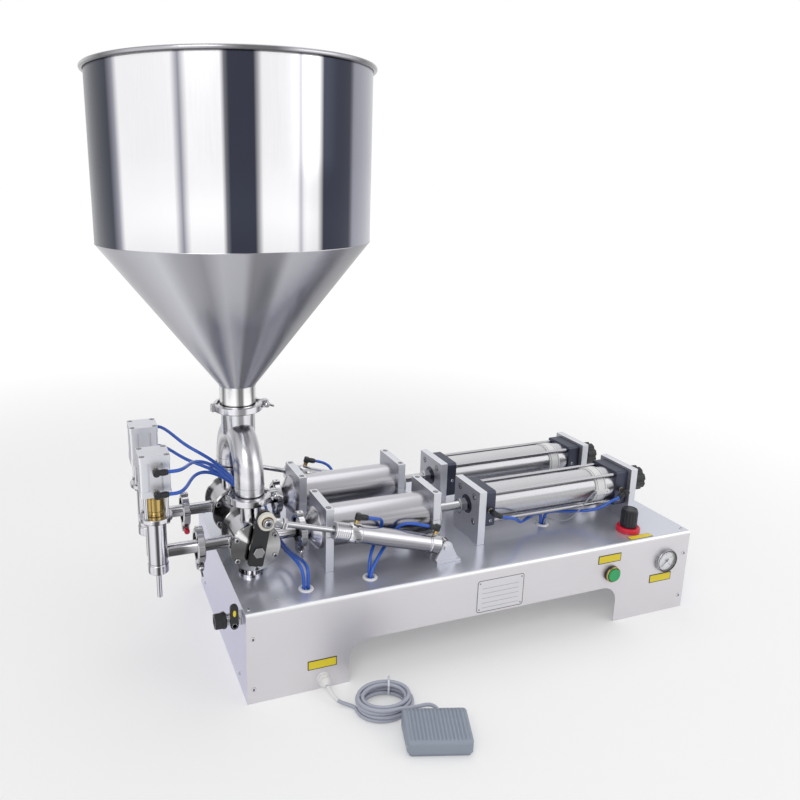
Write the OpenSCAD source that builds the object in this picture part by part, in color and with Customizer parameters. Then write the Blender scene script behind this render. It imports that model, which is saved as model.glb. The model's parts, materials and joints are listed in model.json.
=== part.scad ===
// Two-headed piston paste filling machine. One hopper feeds two rotary valves through a forked
// elbow. Each valve joins a material cylinder on the right and a nozzle on the left, and an air
// cylinder at the far end drives the material piston. A foot pedal starts the stroke.
// X runs along the base, Y from front to back, Z up, in millimetres.
// The origin is the foot of the hopper's axis, on the floor, midway between the two rows.

/* [Base cabinet] */
// Length of the cabinet
base_length = 900; // [880:5:940]
// Depth of the cabinet, front to back
base_depth = 400; // [396:2:430]
// Height of the deck above the floor
base_height = 165; // [158:1:185]
// Thickness of the sheet steel
sheet = 2; // [1.5:0.1:3]
// Outer radius of the bend between the deck and the front and back panels
bend_r = 6; // [4:0.5:9]
// Distance from the left end of the cabinet to the hopper's axis
hopper_inset = 42; // [40:1:50]
// Width of the left leg of the front panel
leg_left_w = 179; // [165:1:190]
// Width of the right leg of the front panel
leg_right_w = 167; // [150:1:180]
// Height of the cut-out in the front and back panels
cutout_h = 77; // [60:1:80]
// Corner radius of the cut-outs
cutout_r = 32; // [15:1:40]
// Width of the foot flange of each end panel
flange_w = 60; // [55:1:75]

/* [Rows] */
// Distance between the axes of the two rows
row_pitch = 146; // [142:1:152]
// Height of the row axes above the deck
axis_height = 66; // [62:1:72]
// From the valve axis to the first clamp block
block_start = 123.5; // [120:0.5:130]
// Free length between the two clamp blocks of a material cylinder
material_span = 193.5; // [193:0.5:205]
// Free length between the last clamp block and the first air cylinder mount
coupling_gap = 81; // [75:1:90]
// Free length between the two mounts of an air cylinder
air_span = 333; // [328:1:340]
// Thickness of the clamp blocks and mounts
block_t = 15; // [12:0.5:16]
// Width of the clamp blocks and mounts
block_w = 90; // [86:1:94]
// Height of the clamp blocks above the row axis
block_rise = 53; // [48:1:60]
// Height of the air cylinder mounts above the row axis
mount_rise = 41; // [38:1:48]
// Saw cut between the two halves of a clamp block
kerf = 0.5; // [0.3:0.1:1]

/* [Hopper] */
// Outer radius of the hopper
hopper_r = 225; // [180:1:240]
// Height of the hopper's cylinder
hopper_h = 264; // [200:1:300]
// Height of the hopper's cone
cone_h = 248; // [220:1:280]
// Wall of the hopper
hopper_wall = 2; // [1.5:0.1:3]
// Radius of the rolled bead on the rim
bead_r = 3.75; // [3:0.25:5]
// Outer radius of the spout under the cone
spout_r = 31.75; // [29:0.25:34]
// Length of the spout
spout_len = 39; // [30:1:50]
// Radius of the spout's clamp ferrule
spout_ferrule_r = 38.75; // [38:0.25:42]

/* [Forked elbow] */
// Outer radius of the elbow tube
elbow_r = 25.4; // [23:0.2:27]
// Wall of the elbow tube and the pipes
pipe_wall = 1.6; // [1.2:0.1:2.5]
// Straight length below each bend
elbow_leg = 22; // [16:1:30]
// From the top of the bend's centre line up to the hopper joint
riser_h = 47; // [44:1:60]
// Radius of the elbow's lower ferrules
elbow_ferrule_r = 32; // [30.5:0.25:33]

/* [Rotary valve] */
// Outer radius of the valve body
valve_r = 38; // [36:0.5:40]
// Length of the valve body between its covers
valve_len = 66; // [60:1:72]
// Radius of the rotor
rotor_r = 30; // [28:0.5:31]
// Radius of the valve covers
cover_r = 44; // [42:0.5:46]
// Thickness of a valve cover
cover_t = 6; // [5:0.5:8]
// Radius of the rotor's shaft
shaft_r = 8; // [7:0.25:9]
// From the valve axis up to the elbow joint
neck_h = 77; // [74:1:84]
// Outer radius of the valve's upper neck
neck_r = 17; // [15:0.5:20]
// Radius of the two side pipes
pipe_r = 11; // [9.5:0.25:12.5]
// From the valve axis to the joints of the side pipes
port_reach = 90; // [86:1:92]
// Radius of the small ferrules
port_ferrule_r = 25.25; // [24:0.25:26]
// Radius of the post below a valve
post_r = 12; // [9:0.5:14]
// Length of the valve lever between its pivots
lever_len = 60; // [56:1:62]
// Lean of the lever from upright, in degrees
lever_lean = 11.5; // [8:0.5:14]
// Width of the lever bar
lever_w = 26; // [22:1:28]
// Thickness of the lever bar
lever_t = 8; // [6:0.5:8]
// Angle of the rotor's pocket, in degrees
pocket_angle = 243; // [235:1:246]

/* [Material cylinder] */
// Outer radius of the material tube
material_r = 38; // [36:0.5:39]
// Wall of the material tube
material_wall = 2.5; // [2:0.1:3]
// Length of the material piston
piston_len = 30; // [26:1:34]
// Radius of the piston rods
rod_r = 8; // [7:0.25:9]

/* [Air cylinder] */
// Width of the square end caps
cap_w = 72; // [70:1:76]
// Corner radius of the end caps
cap_corner_r = 5; // [3:0.5:8]
// Thickness of the front end cap
front_cap_t = 26; // [22:1:30]
// Thickness of the rear end cap
rear_cap_t = 28; // [22:1:32]
// Outer radius of the barrel
barrel_r = 33; // [31:0.25:33]
// Wall of the barrel
barrel_wall = 3; // [2.5:0.25:4]
// Radius of the tie rods
tie_r = 3.5; // [3:0.25:4]
// Distance of each tie rod from the axis, along Y and along Z
tie_offset = 28; // [27.5:0.25:30]
// Radius of the stop screw
screw_r = 8; // [7:0.25:9]
// Radius of the handwheel
wheel_r = 25; // [20:1:30]
// Thickness of the handwheel
wheel_t = 22; // [16:1:26]

/* [Nozzle head] */
// From the valve axis to the nozzle axis
nozzle_reach = 160; // [150:1:170]
// Outer radius of the nozzle body
nozzle_r = 16.5; // [15:0.25:18]
// Height of the nozzle body above its pipe
nozzle_up = 61; // [54:1:66]
// Depth of the nozzle body below its pipe
nozzle_down = 17; // [15:1:24]
// Radius of the nozzle's flange
nozzle_flange_r = 27.5; // [26:0.5:30]
// Height of the brass spacer
spacer_h = 40; // [30:1:45]
// Radius of the brass spacer
spacer_r = 14; // [12:0.5:15]
// Width of the square nozzle cylinder
head_w = 50; // [46:1:54]
// Height of the square nozzle cylinder
head_h = 70; // [60:1:80]
// Radius of the plunger
plunger_r = 5; // [4:0.25:6]
// Radius of the union nut below the nozzle body
union_r = 17.5; // [17:0.25:19]
// Height of the union nut
union_h = 18; // [14:1:22]
// Length of the tip below the union nut
tip_len = 48; // [40:1:55]
// Outer radius of the tip
tip_r = 4.5; // [4:0.1:5]

/* [Valve actuator] */
// From the row axis forward to the actuator's plane
actuator_offset = 65; // [63:0.5:68]
// From the valve axis to the actuator's clevis pin
clevis_x = 346; // [340:1:352]
// Height of the clevis pin above the deck
clevis_h = 26; // [24:1:32]
// Outer radius of the actuator barrel
actuator_r = 16; // [14:0.25:16.5]
// Length of the actuator barrel
actuator_len = 138; // [134:1:142]
// Radius of the actuator rod
link_r = 5; // [4:0.25:6]
// Outer radius of the rod end eye
eye_r = 15; // [13:0.5:16]
// Thickness of the rod end eye
eye_t = 14; // [12:0.5:15]
// Radius of the lever's pin
lever_pin_r = 5; // [4:0.25:5.5]

/* [Controls] */
// Radius of the gauge case
gauge_r = 24; // [21:0.5:26]
// Radius of the start button's ring
button_ring_r = 16; // [15.5:0.5:18]
// Radius of the start button's cap
button_r = 12.5; // [10:0.5:13]
// Travel of the start button
button_travel = 3; // [2:0.5:4]
// Radius of the regulator's collar
collar_r = 22; // [20:0.5:25]
// Radius of the regulator's knob
knob_r = 15.5; // [14:0.5:18]
// Height of the regulator's knob
knob_h = 36; // [28:1:42]
// Radius of the inlet valve's body
inlet_r = 10; // [9:0.5:12]
// Radius of the inlet valve's end block
inlet_end_r = 14; // [13:0.5:16]

/* [Pedal] */
// Length of the pedal
pedal_l = 100; // [90:1:110]
// Width of the pedal, heel to toe
pedal_w = 68; // [60:1:74]
// Height of the pedal at its highest line
pedal_h = 40; // [36:1:46]
// Turn of the pedal on the floor, in degrees
pedal_turn = -17; // [-20:1:-14]
// Wall of the pedal's cover
cover_wall = 2.5; // [2:0.1:3]

/* [Cord and hoses] */
// Diameter of the pedal cord
cord_d = 6; // [5:0.5:6]
// Loops in the coil
coil_turns = 7.25; // [5.25:1:8.25]
// Half length of the coil along its long axis, to the outer centre line
coil_a = 47; // [44:1:50]
// Half width of the coil, to the outer centre line
coil_b = 36; // [34:1:38]
// Step from one loop to the next within a layer
coil_step = 7.6; // [7.2:0.1:8]
// Step from one layer to the next
coil_rise = 6.6; // [6.5:0.1:7]
// Outer diameter of the air hoses
hose_d = 6; // [5:0.5:6]

/* [Hidden] */
$fn = 64;
hopper_sides = 96;

// Running fit between a shaft and its bore
fit = 0.05;
// Clear gap between pieces that move past each other
gap = 0.4;
// Overrun of a cut past the face that it opens
cut = 1;
// Facets round a hose or cord
hose_sides = 8;
coil_sides = 6;
loop_rings = 24;

// Main planes
base_left = -hopper_inset;
base_right = base_left + base_length;
front_y = -base_depth / 2;
deck_z = base_height;
axis_z = deck_z + axis_height;
row_y = -row_pitch / 2;
inner_z = deck_z - sheet;

// Places along a row
block1_x = block_start;
block2_x = block1_x + block_t + material_span;
mount1_x = block2_x + block_t + coupling_gap;
mount2_x = mount1_x + block_t + air_span;
front_cap_x = mount1_x + block_t;
barrel_x = front_cap_x + front_cap_t;
rear_cap_x = mount2_x - rear_cap_t;

// Hopper and forked elbow
elbow_joint_z = axis_z + neck_h;
arch_z = elbow_joint_z + elbow_leg;
hopper_joint_z = arch_z + row_pitch / 2 + riser_h;
cone_z = hopper_joint_z + spout_len;
shoulder_z = cone_z + cone_h;
rim_z = shoulder_z + hopper_h;
riser_r = 30;
ferrule_t = 3;
clamp_wall = 5;
clamp_lip = 3;
clamp_w = 13;
lug_w = 14;
lug_t = 6;
wing_r = 4;
wing_splay = 20;

// Material cylinder and its piston
tube_over = 5;
tube_end_x = block2_x + block_t + tube_over;
cone_len = 21;
cone_gap = 5.5;
cone_end_x = block1_x - cone_gap;
piston_over = 3;
piston_x = tube_end_x + piston_over - piston_len;
seal_w = 4;
seal_depth = 1;
nut_len = 14;
nut_r = 13;
nut_gap = 4;
coupling_nut_x = mount1_x - nut_gap - nut_len;
air_piston_len = 20;
piston_rest = 3;
air_piston_x = rear_cap_x - piston_rest - air_piston_len;
gland_r = 18.5;

// Stop screw and handwheel
screw_nose = 0.5;
screw_x = rear_cap_x - piston_rest + screw_nose;
wheel_gap = 21;
wheel_x = mount2_x + block_t + wheel_gap;
screw_end = 5;
hub_r = 12;
hub_gap = 2;
scallops = 8;
scallop_r = 5;

// Valve
port_bore_r = 9;
foot_r = 22;
foot_t = 5;
cover_bolts = 6;
bolt_inset = 6;
bolt_r = 3;
bolt_head_h = 3;
lever_gap = 6;
lever_y = row_y - valve_len / 2 - cover_t - lever_gap;
lever_tail = 27;
pin_collar_r = 8;
pin_head_r = 9;
pin_head_t = 5;
shaft_nut_r = 10;
shaft_nut_t = 6;
core_r = 13;
pocket_land = 8;
pocket_start = 257;

// Actuator, laid along its own -X from the clevis pin
actuator_y = row_y - actuator_offset;
clevis_z = deck_z + clevis_h;
eye_x = lever_len * sin(lever_lean);
eye_z = axis_z + lever_len * cos(lever_lean);
actuator_tilt = atan2(eye_z - clevis_z, clevis_x - eye_x);
pin_to_eye = norm([clevis_x - eye_x, eye_z - clevis_z]);
tongue_len = 14;
tongue_r = 12;
tongue_t = 12;
open_pivot_r = 7;
cap_len = 24;
nose_cap_len = 22;
nose_len = 27;
nose_r = 14;
nose_rings = 7;
ring_step_share = 1 / 7;
cap_rim = 1.5;
bore_end = 4;
link_piston_len = 10;
barrel_inner_r = actuator_r - 2;
barrel_start = tongue_len + cap_len;
barrel_stop = barrel_start + actuator_len;
nose_start = barrel_stop + nose_cap_len;
eye_neck = 26;
eye_shank_r = 8;
link_nut_len = 9;
link_nut_r = 10;
cheek_t = 4;
cheek_gap = 1;
cheek_top_r = 11;
cheek_foot_w = 48;
bracket_foot = 8;
clevis_pin_r = 3;
clevis_head_r = 7;
clevis_head_t = 4;

// Nozzle
flange_t = 8;
nozzle_top_z = axis_z + nozzle_up;
spacer_z = nozzle_top_z + flange_t;
head_z = spacer_z + spacer_h;
nozzle_bottom_z = axis_z - nozzle_down;
union_z = nozzle_bottom_z - union_h;
tip_z = union_z - tip_len;
nozzle_bore_r = nozzle_r - 4.5;
head_bore_r = 20;
head_floor = 12;
head_roof = 10;
head_corner_r = 4;
plunger_head_t = 10;
wiper_t = 8;
wiper_drop = 24;
standoff_r = 3;
standoff_at = 17;
tip_bore_r = 3;

// Fittings and hoses
hose_r = hose_d / 2;
fitting_r = 6;
fitting_arm_r = 5;
fitting_stem_r = 4.5;
fitting_stem = 9;
fitting_len = 18;
grommet_hole_r = 9.5;
grommet_flange_r = 13;
grommet_flange_t = 2.5;
grommet_bore_r = 7.4;
hose_apart = 3.6;
hose_drop = 18;
grommet_inset = 43;
lever_grommet = [191, front_y + grommet_inset - row_y];
nozzle_grommet = [74, front_y + grommet_inset + 1 - row_y];
barrel_grommet = [600, -8];
cap_port_drop = 2;
cap_port_turn = 30;
half_turn = 180;
upper_port_z = head_z + head_h - 22;
lower_port_z = head_z + 10;
port_share = 0.45;
front_port_x = front_cap_x + front_cap_t * (1 - port_share);
rear_port_x = rear_cap_x + rear_cap_t * port_share;

// Sensor
band_w = 24;
band_t = 2.4;
band_from_cap = 45;
band_x = rear_cap_x - band_from_cap;
sensor_len = 30;
sensor_w = 8;

// Controls
gauge_x = base_right - 55;
gauge_z = 112;
gauge_front = 7;
gauge_back = 24;
gauge_case_r = gauge_r - 2.5;
gauge_floor = 3;
lens_t = 1.5;
needle_len = 16;
needle_w = 1.2;
needle_t = 0.8;
needle_hub_r = 2.5;
needle_pin_r = 0.8;
needle_back = 4.2;
needle_rest = 135;
button_x = base_right - 184;
button_z = 107;
button_ring_t = 8;
button_body_r = 14.5;
button_body_len = 30;
button_proud = 3;
button_depth = 8;
regulator_x = base_right - 115;
regulator_inset = 42;
regulator_y = front_y + regulator_inset;
collar_h = 10;
regulator_stem_r = 14;
regulator_low_r = 20;
regulator_low_h = 46;
knob_gap = 0.4;
knob_flutes = 16;
knob_core_r = 9;
inlet_y = front_y + 26;
inlet_z = deck_z - 18;
inlet_len = 28;
inlet_end_len = 18;
inlet_bore_r = 4;
inlet_bore_len = 16;
inlet_tail = 24;
inlet_boss_r = 13;
inlet_boss_len = 10;
inlet_stem_r = 4;
inlet_stem_len = 12;
inlet_lever_x = base_left - 17;
inlet_lever_r = 6.5;
inlet_lever_t = 7;
inlet_lever_len = 30;
plate_t = 1;
rating_w = 97;
rating_h = 64;
rating_x = base_right - base_length / 2 + 21;
rating_z = 113;
rating_corner = 5;
small_label_w = 52;
small_label_h = 17;
pedal_label_x = 88;
pedal_label_z = 48;
button_label_x = button_x - 7;
button_label_z = 139;
gauge_label_x = gauge_x - 8;
gauge_label_z = 76;
deck_label_x = base_right - 112;
deck_label_h = 13;
block_len = 150;
block_wide = 60;
block_high = 34;
valve_block_x = 300;

// Pedal, in its own frame until it is laid on the floor
pedal_at = [213, -368];
pedal_corner = 8;
pedal_base_h = 14;
skirt_z = 6;
back_skirt_z = 10;
pedal_front_h = 24;
pedal_ridge_share = 0.3;
pedal_back_h = 31;
pedal_gap = 0.8;
pedal_pin_r = 2.5;
pedal_pin_y = -pedal_w / 2 + 10;
pedal_pin_z = 11;
notch_w = 13;
notch_h = 9;
pedal_gland_x = 15;
pedal_gland_len = 10;
pedal_gland_r = 4.5;
pedal_gland_z = 7;
switch_size = [24, 12, 12];

// Cord glands
gland_x = 89;
gland_z = 19;
panel_gland_r = 12;
panel_gland_nut = 8;
panel_gland_len = 22;
panel_gland_nose_r = 8;

// Cord and coil. The points are chosen by hand, the coil's turns come from the formula below.
cord_r = cord_d / 2;
coil_at = [168, -276];
coil_low_z = cord_r + 0.3;
climb_share = 0.5;
layers = 4;
coil_start_angle = 180;
layer_turns = (coil_turns - (layers - 1) * climb_share) / layers;
lead_start = [gland_x, front_y - panel_gland_len, gland_z];
lead_second = lead_start - [0, cord_d, 0];
lead_route = [[91, -238, 14], [99, -249, 7], [111, -254, 3.8]];
tail_route = [[188, -313, 22.5], [206, -313, 19], [226, -306, 13.5], [240, -306, 9.5], [244.5, -315, 7.5]];

// Hose routes: X, distance from the row axis and height above the deck, chosen by hand.
nose_hose_route = [[212, -64, 98], [226, -55, 90], [230, -41.5, 68], [218, -43, 44], [198, -66, 32]];
tail_hose_route = [[288, -62, 76], [266, -48, 74], [254, -41, 54], [238, -46, 36], [208, -76, 30]];
upper_hose_route = [[38 - nozzle_reach, -40, 223], [54 - nozzle_reach, -8, 216],
                    [72 - nozzle_reach, 36, 206], [-58, 56, 192], [-24, 58, 162],
                    [10, 52, 116], [38, 52, 76], [59, 38, 36], [61, 0, 32], [61, -40, 42], [68, -82, 42]];
lower_hose_route = [[38 - nozzle_reach, -40, 185], [54 - nozzle_reach, -8, 182],
                    [72 - nozzle_reach, 40, 180], [-58, 64, 174], [-16, 69, 146],
                    [20, 66, 98], [48, 64, 58], [68, 38, 26], [74, 0, 22], [80, -44, 32], [79, -82, 38]];
front_cap_hose_route = [[506, -51, 48], [524, -38, 28], [548, -18, 20], [576, -8, 24], [594, -8, 26]];
rear_cap_hose_route = [[728, -51, 50], [706, -42, 30], [676, -20, 21], [638, -8, 22], [607, -8, 26]];

// Curves

function unit(v) = v / norm(v);
function along(p, i) = unit(p[min(i + 1, len(p) - 1)] - p[max(i - 1, 0)]);
function first_side(t) = unit(cross(t, abs(t.z) < 0.9 ? [0, 0, 1] : [1, 0, 0]));
function carried(n, t) = unit(n - t * (n * t));

// A side vector for each point, carried along the route without twisting
function sides_of(p) =
    [for (i = 0, n = first_side(along(p, 0)); i < len(p);
          i = i + 1, n = i < len(p) ? carried(n, along(p, i)) : n) n];

// A point of the smooth curve drawn by p, between points i and i + 1. It starts and ends on p's ends.
function blend_point(p, i, s) =
    let (n = len(p) - 1, b = p[i], c = p[i + 1],
         a = i == 0 ? b * 2 - c : p[i - 1], d = i == n - 1 ? c * 2 - b : p[i + 2])
    (a * pow(1 - s, 3) + b * (3 * pow(s, 3) - 6 * s * s + 4)
     + c * (3 * s * s - 3 * pow(s, 3) + 3 * s + 1) + d * pow(s, 3)) / 6;

function smooth(p, steps) =
    [for (i = [0:len(p) - 2], k = [0:steps - 1]) blend_point(p, i, k / steps), p[len(p) - 1]];

// One closed tube along the points p, as triangles
module swept_tube(p, r, sides) {
    side = sides_of(p);
    rings = [for (i = [0:len(p) - 1]) let (n = side[i], b = cross(along(p, i), n))
             for (k = [0:sides - 1]) let (a = 360 * k / sides) p[i] + r * (cos(a) * n + sin(a) * b)];
    last = (len(p) - 1) * sides;
    walls = [for (i = [0:len(p) - 2], k = [0:sides - 1])
             let (a = i * sides + k, b = i * sides + (k + 1) % sides)
             each [[a, a + sides, b], [b, a + sides, b + sides]]];
    ends = [for (k = [1:sides - 2]) each [[0, k, k + 1], [last, last + k + 1, last + k]]];
    polyhedron(points = rings, faces = concat(walls, ends));
}

// Shared shapes

module at_row(x = 0, z = 0) translate([x, row_y, axis_z + z]) children();
module along_x(x = 0, z = 0) at_row(x, z) rotate([0, 90, 0]) children();
module along_y(y, x = 0, z = 0) translate([x, y, z]) rotate([-90, 0, 0]) children();
module rear() mirror([0, 1, 0]) children();
module both() {
    children();
    rear() children();
}

module rounded(w, h, r) {
    square([w - 2 * r, h], center = true);
    square([w, h - 2 * r], center = true);
    for (x = [-1, 1], y = [-1, 1]) translate([x * (w / 2 - r), y * (h / 2 - r)]) circle(r = r);
}

module ring(outer, inner, h) {
    difference() {
        cylinder(r = outer, h = h);
        translate([0, 0, -cut]) cylinder(r = inner, h = h + 2 * cut);
    }
}

// Two half rings over a pair of ferrules, with a hinge at -X and a wing nut at +X.
// The joint face is at z = 0.
module tri_clamp(r) {
    outer = r + clamp_wall;
    lug_x = outer + lug_w / 2 - clamp_lip;
    difference() {
        union() {
            translate([0, 0, -clamp_w / 2]) cylinder(r = outer, h = clamp_w);
            translate([lug_x - lug_w / 2, -lug_t - kerf, -clamp_w / 2])
                cube([lug_w, 2 * (lug_t + kerf), clamp_w]);
            translate([-outer, 0, -clamp_w / 2]) cylinder(r = lug_t, h = clamp_w);
        }
        translate([0, 0, -clamp_w]) cylinder(r = r - clamp_lip, h = 2 * clamp_w);
        translate([0, 0, -ferrule_t - fit]) cylinder(r = r + fit, h = 2 * (ferrule_t + fit));
        translate([r - clamp_lip - cut, -kerf, -clamp_w]) cube([3 * lug_w, 2 * kerf, 2 * clamp_w]);
    }
    translate([lug_x + wing_r / 2, -lug_w, 0]) rotate([-90, 0, 0])
        cylinder(r = wing_r - cut, h = 2 * lug_w);
    translate([lug_x + wing_r / 2, -lug_w - wing_r, 0]) rotate([-90, 0, 0]) {
        cylinder(r = wing_r + cut, h = lug_w / 2);
        for (s = [-1, 1]) translate([s * (wing_r + cut), 0, 0]) rotate([0, s * wing_splay, 0])
            translate([-wing_r / 2, -wing_r / 2, -lug_w / 2]) cube([wing_r, wing_r, lug_w]);
    }
}

// An elbow fitting: the stem stands on z = 0 and the outlet points along +X
module elbow_fitting() {
    cylinder(r = fitting_stem_r, h = fitting_stem);
    translate([0, 0, fitting_stem]) cylinder(r = fitting_r, h = 2 * fitting_r);
    translate([0, 0, fitting_stem + fitting_r]) rotate([0, 90, 0])
        cylinder(r = fitting_arm_r, h = fitting_len);
}

// Base cabinet

module channel_section(depth, height, r, below) {
    translate([-depth / 2, -below]) square([depth, height - r + below]);
    translate([r - depth / 2, -below]) square([depth - 2 * r, height + below]);
    for (s = [-1, 1]) translate([s * (depth / 2 - r), height - r]) circle(r = r);
}

module along_base(x, length) translate([x, 0, 0]) rotate([90, 0, 90]) linear_extrude(length) children();

module panel_cutout() {
    w = base_length - leg_left_w - leg_right_w;
    translate([leg_left_w + base_left, 0, 0]) rotate([90, 0, 0]) translate([0, 0, -base_depth])
        linear_extrude(2 * base_depth) {
            translate([0, -cut]) square([w, cutout_h - cutout_r + cut]);
            translate([cutout_r, -cut]) square([w - 2 * cutout_r, cutout_h + cut]);
            for (x = [cutout_r, w - cutout_r]) translate([x, cutout_h - cutout_r]) circle(r = cutout_r);
        }
}

module grommet_places() {
    for (g = [lever_grommet, nozzle_grommet, barrel_grommet])
        both() translate([g.x, row_y + g.y, deck_z]) children();
}

module base_shell() color("silver") difference() {
    along_base(base_left, base_length) difference() {
        channel_section(base_depth, base_height, bend_r, 0);
        channel_section(base_depth - 2 * sheet, inner_z, bend_r - sheet, cut);
    }
    panel_cutout();
    grommet_places() translate([0, 0, -sheet - cut]) cylinder(r = grommet_hole_r, h = sheet + 2 * cut);
    translate([regulator_x, regulator_y, inner_z - cut])
        cylinder(r = regulator_stem_r, h = sheet + 2 * cut);
    along_y(front_y - cut, gauge_x, gauge_z) cylinder(r = gauge_case_r, h = sheet + 2 * cut);
    along_y(front_y - cut, button_x, button_z) cylinder(r = button_body_r, h = sheet + 2 * cut);
    along_y(front_y - cut, gland_x, gland_z) cylinder(r = panel_gland_nose_r, h = sheet + 2 * cut);
}

module end_panels() color("lavender") difference() {
    for (x = [base_left, base_right - sheet]) {
        along_base(x, sheet) channel_section(base_depth - 2 * sheet, inner_z, bend_r - sheet, 0);
        along = x == base_left ? x : x + sheet - flange_w;
        translate([along, front_y + sheet, 0]) cube([flange_w, base_depth - 2 * sheet, sheet]);
    }
    translate([base_left - cut, inlet_y, inlet_z]) rotate([0, 90, 0])
        cylinder(r = inlet_r, h = sheet + 2 * cut);
}

module label_plates() color("gold") {
    along_y(front_y - plate_t, rating_x, rating_z) linear_extrude(plate_t)
        rounded(rating_w, rating_h, rating_corner);
    for (p = [[pedal_label_x, pedal_label_z], [button_label_x, button_label_z],
              [gauge_label_x, gauge_label_z]])
        translate([p.x - small_label_w / 2, front_y - plate_t, p.y - small_label_h / 2])
            cube([small_label_w, plate_t, small_label_h]);
    translate([deck_label_x - small_label_w / 2, front_y + bend_r, deck_z])
        cube([small_label_w, deck_label_h, plate_t]);
}

module valve_block() color("dimgray") translate([valve_block_x, -block_wide / 2, inner_z - block_high])
    cube([block_len, block_wide, block_high]);

module deck_grommets() color("white") grommet_places() difference() {
    union() {
        cylinder(r = grommet_flange_r, h = grommet_flange_t);
        translate([0, 0, -sheet]) cylinder(r = grommet_hole_r, h = sheet);
        translate([0, 0, -sheet - grommet_flange_t]) cylinder(r = grommet_flange_r, h = grommet_flange_t);
    }
    translate([0, 0, -hose_drop]) cylinder(r = grommet_bore_r, h = 2 * hose_drop);
}

// Controls on the front panel, the deck and the left panel

module gauge_case() color("white") {
    along_y(front_y - gauge_front, gauge_x, gauge_z) difference() {
        union() {
            cylinder(r = gauge_r, h = gauge_front);
            cylinder(r = gauge_case_r, h = gauge_front + gauge_back);
        }
        translate([0, 0, -cut]) cylinder(r = gauge_case_r, h = gauge_front - gauge_floor + cut);
    }
    along_y(front_y - gauge_front, gauge_x, gauge_z) cylinder(r = gauge_case_r, h = lens_t);
    along_y(front_y - needle_back - needle_t, gauge_x, gauge_z)
        cylinder(r = needle_pin_r, h = needle_back + needle_t - gauge_floor);
}

module gauge_needle() color("black")
    along_y(front_y - needle_back - needle_t, gauge_x, gauge_z) difference() {
    union() {
        cylinder(r = needle_hub_r, h = needle_t);
        rotate([0, 0, needle_rest]) translate([-needle_hub_r, -needle_w / 2, 0])
            cube([needle_len + needle_hub_r, needle_w, needle_t]);
    }
    translate([0, 0, -cut]) cylinder(r = needle_pin_r + fit, h = needle_t + 2 * cut);
}

module button_bezel() color("silver") along_y(front_y - button_ring_t, button_x, button_z) difference() {
    union() {
        cylinder(r = button_ring_r, h = button_ring_t);
        cylinder(r = button_body_r, h = button_ring_t + button_body_len);
    }
    translate([0, 0, -cut]) cylinder(r = button_r + gap, h = button_depth + button_travel + gap + cut);
}

module button_cap() color("green") along_y(front_y - button_ring_t - button_proud, button_x, button_z)
    cylinder(r = button_r, h = button_proud + button_depth);

module regulator_body() color("red") translate([regulator_x, regulator_y, 0]) {
    translate([0, 0, deck_z]) cylinder(r = collar_r, h = collar_h);
    translate([0, 0, inner_z]) cylinder(r = regulator_stem_r, h = sheet);
    translate([0, 0, inner_z - regulator_low_h]) cylinder(r = regulator_low_r, h = regulator_low_h);
    translate([0, 0, deck_z + collar_h]) cylinder(r = knob_core_r - fit, h = knob_h / 2);
}

module regulator_knob() color("black")
    translate([regulator_x, regulator_y, deck_z + collar_h + knob_gap]) difference() {
    cylinder(r = knob_r, h = knob_h);
    for (i = [0:knob_flutes - 1]) rotate([0, 0, 360 * i / knob_flutes])
        translate([knob_r + cut / 2, 0, collar_h / 2]) cylinder(r = cut, h = knob_h - collar_h);
    translate([0, 0, -cut]) cylinder(r = knob_core_r, h = knob_h / 2 + cut);
}

module inlet_valve() color("silver") {
    translate([base_left, inlet_y, inlet_z]) rotate([0, -90, 0]) difference() {
        union() {
            cylinder(r = inlet_boss_r, h = inlet_boss_len);
            translate([0, 0, -inlet_tail]) cylinder(r = inlet_r, h = inlet_tail + inlet_len);
            translate([0, 0, inlet_len]) cylinder(r = inlet_end_r, h = inlet_end_len);
        }
        translate([0, 0, inlet_len + inlet_end_len - inlet_bore_len])
            cylinder(r = inlet_bore_r, h = inlet_bore_len + cut);
    }
    along_y(inlet_y - inlet_r - inlet_stem_len, inlet_lever_x, inlet_z)
        cylinder(r = inlet_stem_r, h = inlet_r + inlet_stem_len);
}

module inlet_lever() color("black")
    along_y(inlet_y - inlet_r - inlet_stem_len, inlet_lever_x, inlet_z) difference() {
    union() {
        cylinder(r = inlet_lever_r, h = inlet_lever_t);
        translate([-inlet_lever_r, -inlet_lever_len, 0])
            cube([2 * inlet_lever_r, inlet_lever_len, inlet_lever_t]);
        translate([0, -inlet_lever_len, 0]) cylinder(r = inlet_lever_r, h = inlet_lever_t);
    }
    translate([0, 0, -cut]) cylinder(r = inlet_stem_r + fit, h = inlet_lever_t + 2 * cut);
}

// Hopper and forked elbow

module hopper() color("silver") rotate_extrude($fn = hopper_sides) {
    translate([hopper_r + bead_r - hopper_wall / 2, rim_z]) circle(r = bead_r, $fn = loop_rings);
    polygon([[spout_r - hopper_wall, hopper_joint_z], [spout_ferrule_r, hopper_joint_z],
             [spout_ferrule_r, hopper_joint_z + ferrule_t], [spout_r, hopper_joint_z + ferrule_t],
             [spout_r, cone_z], [hopper_r, shoulder_z], [hopper_r, rim_z + bead_r / 2],
             [hopper_r - hopper_wall, rim_z + bead_r / 2], [hopper_r - hopper_wall, shoulder_z],
             [spout_r - hopper_wall, cone_z]]);
}

module arch(r) rotate([90, 0, 90]) rotate_extrude(angle = 180) translate([row_pitch / 2, 0]) circle(r = r);

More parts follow.
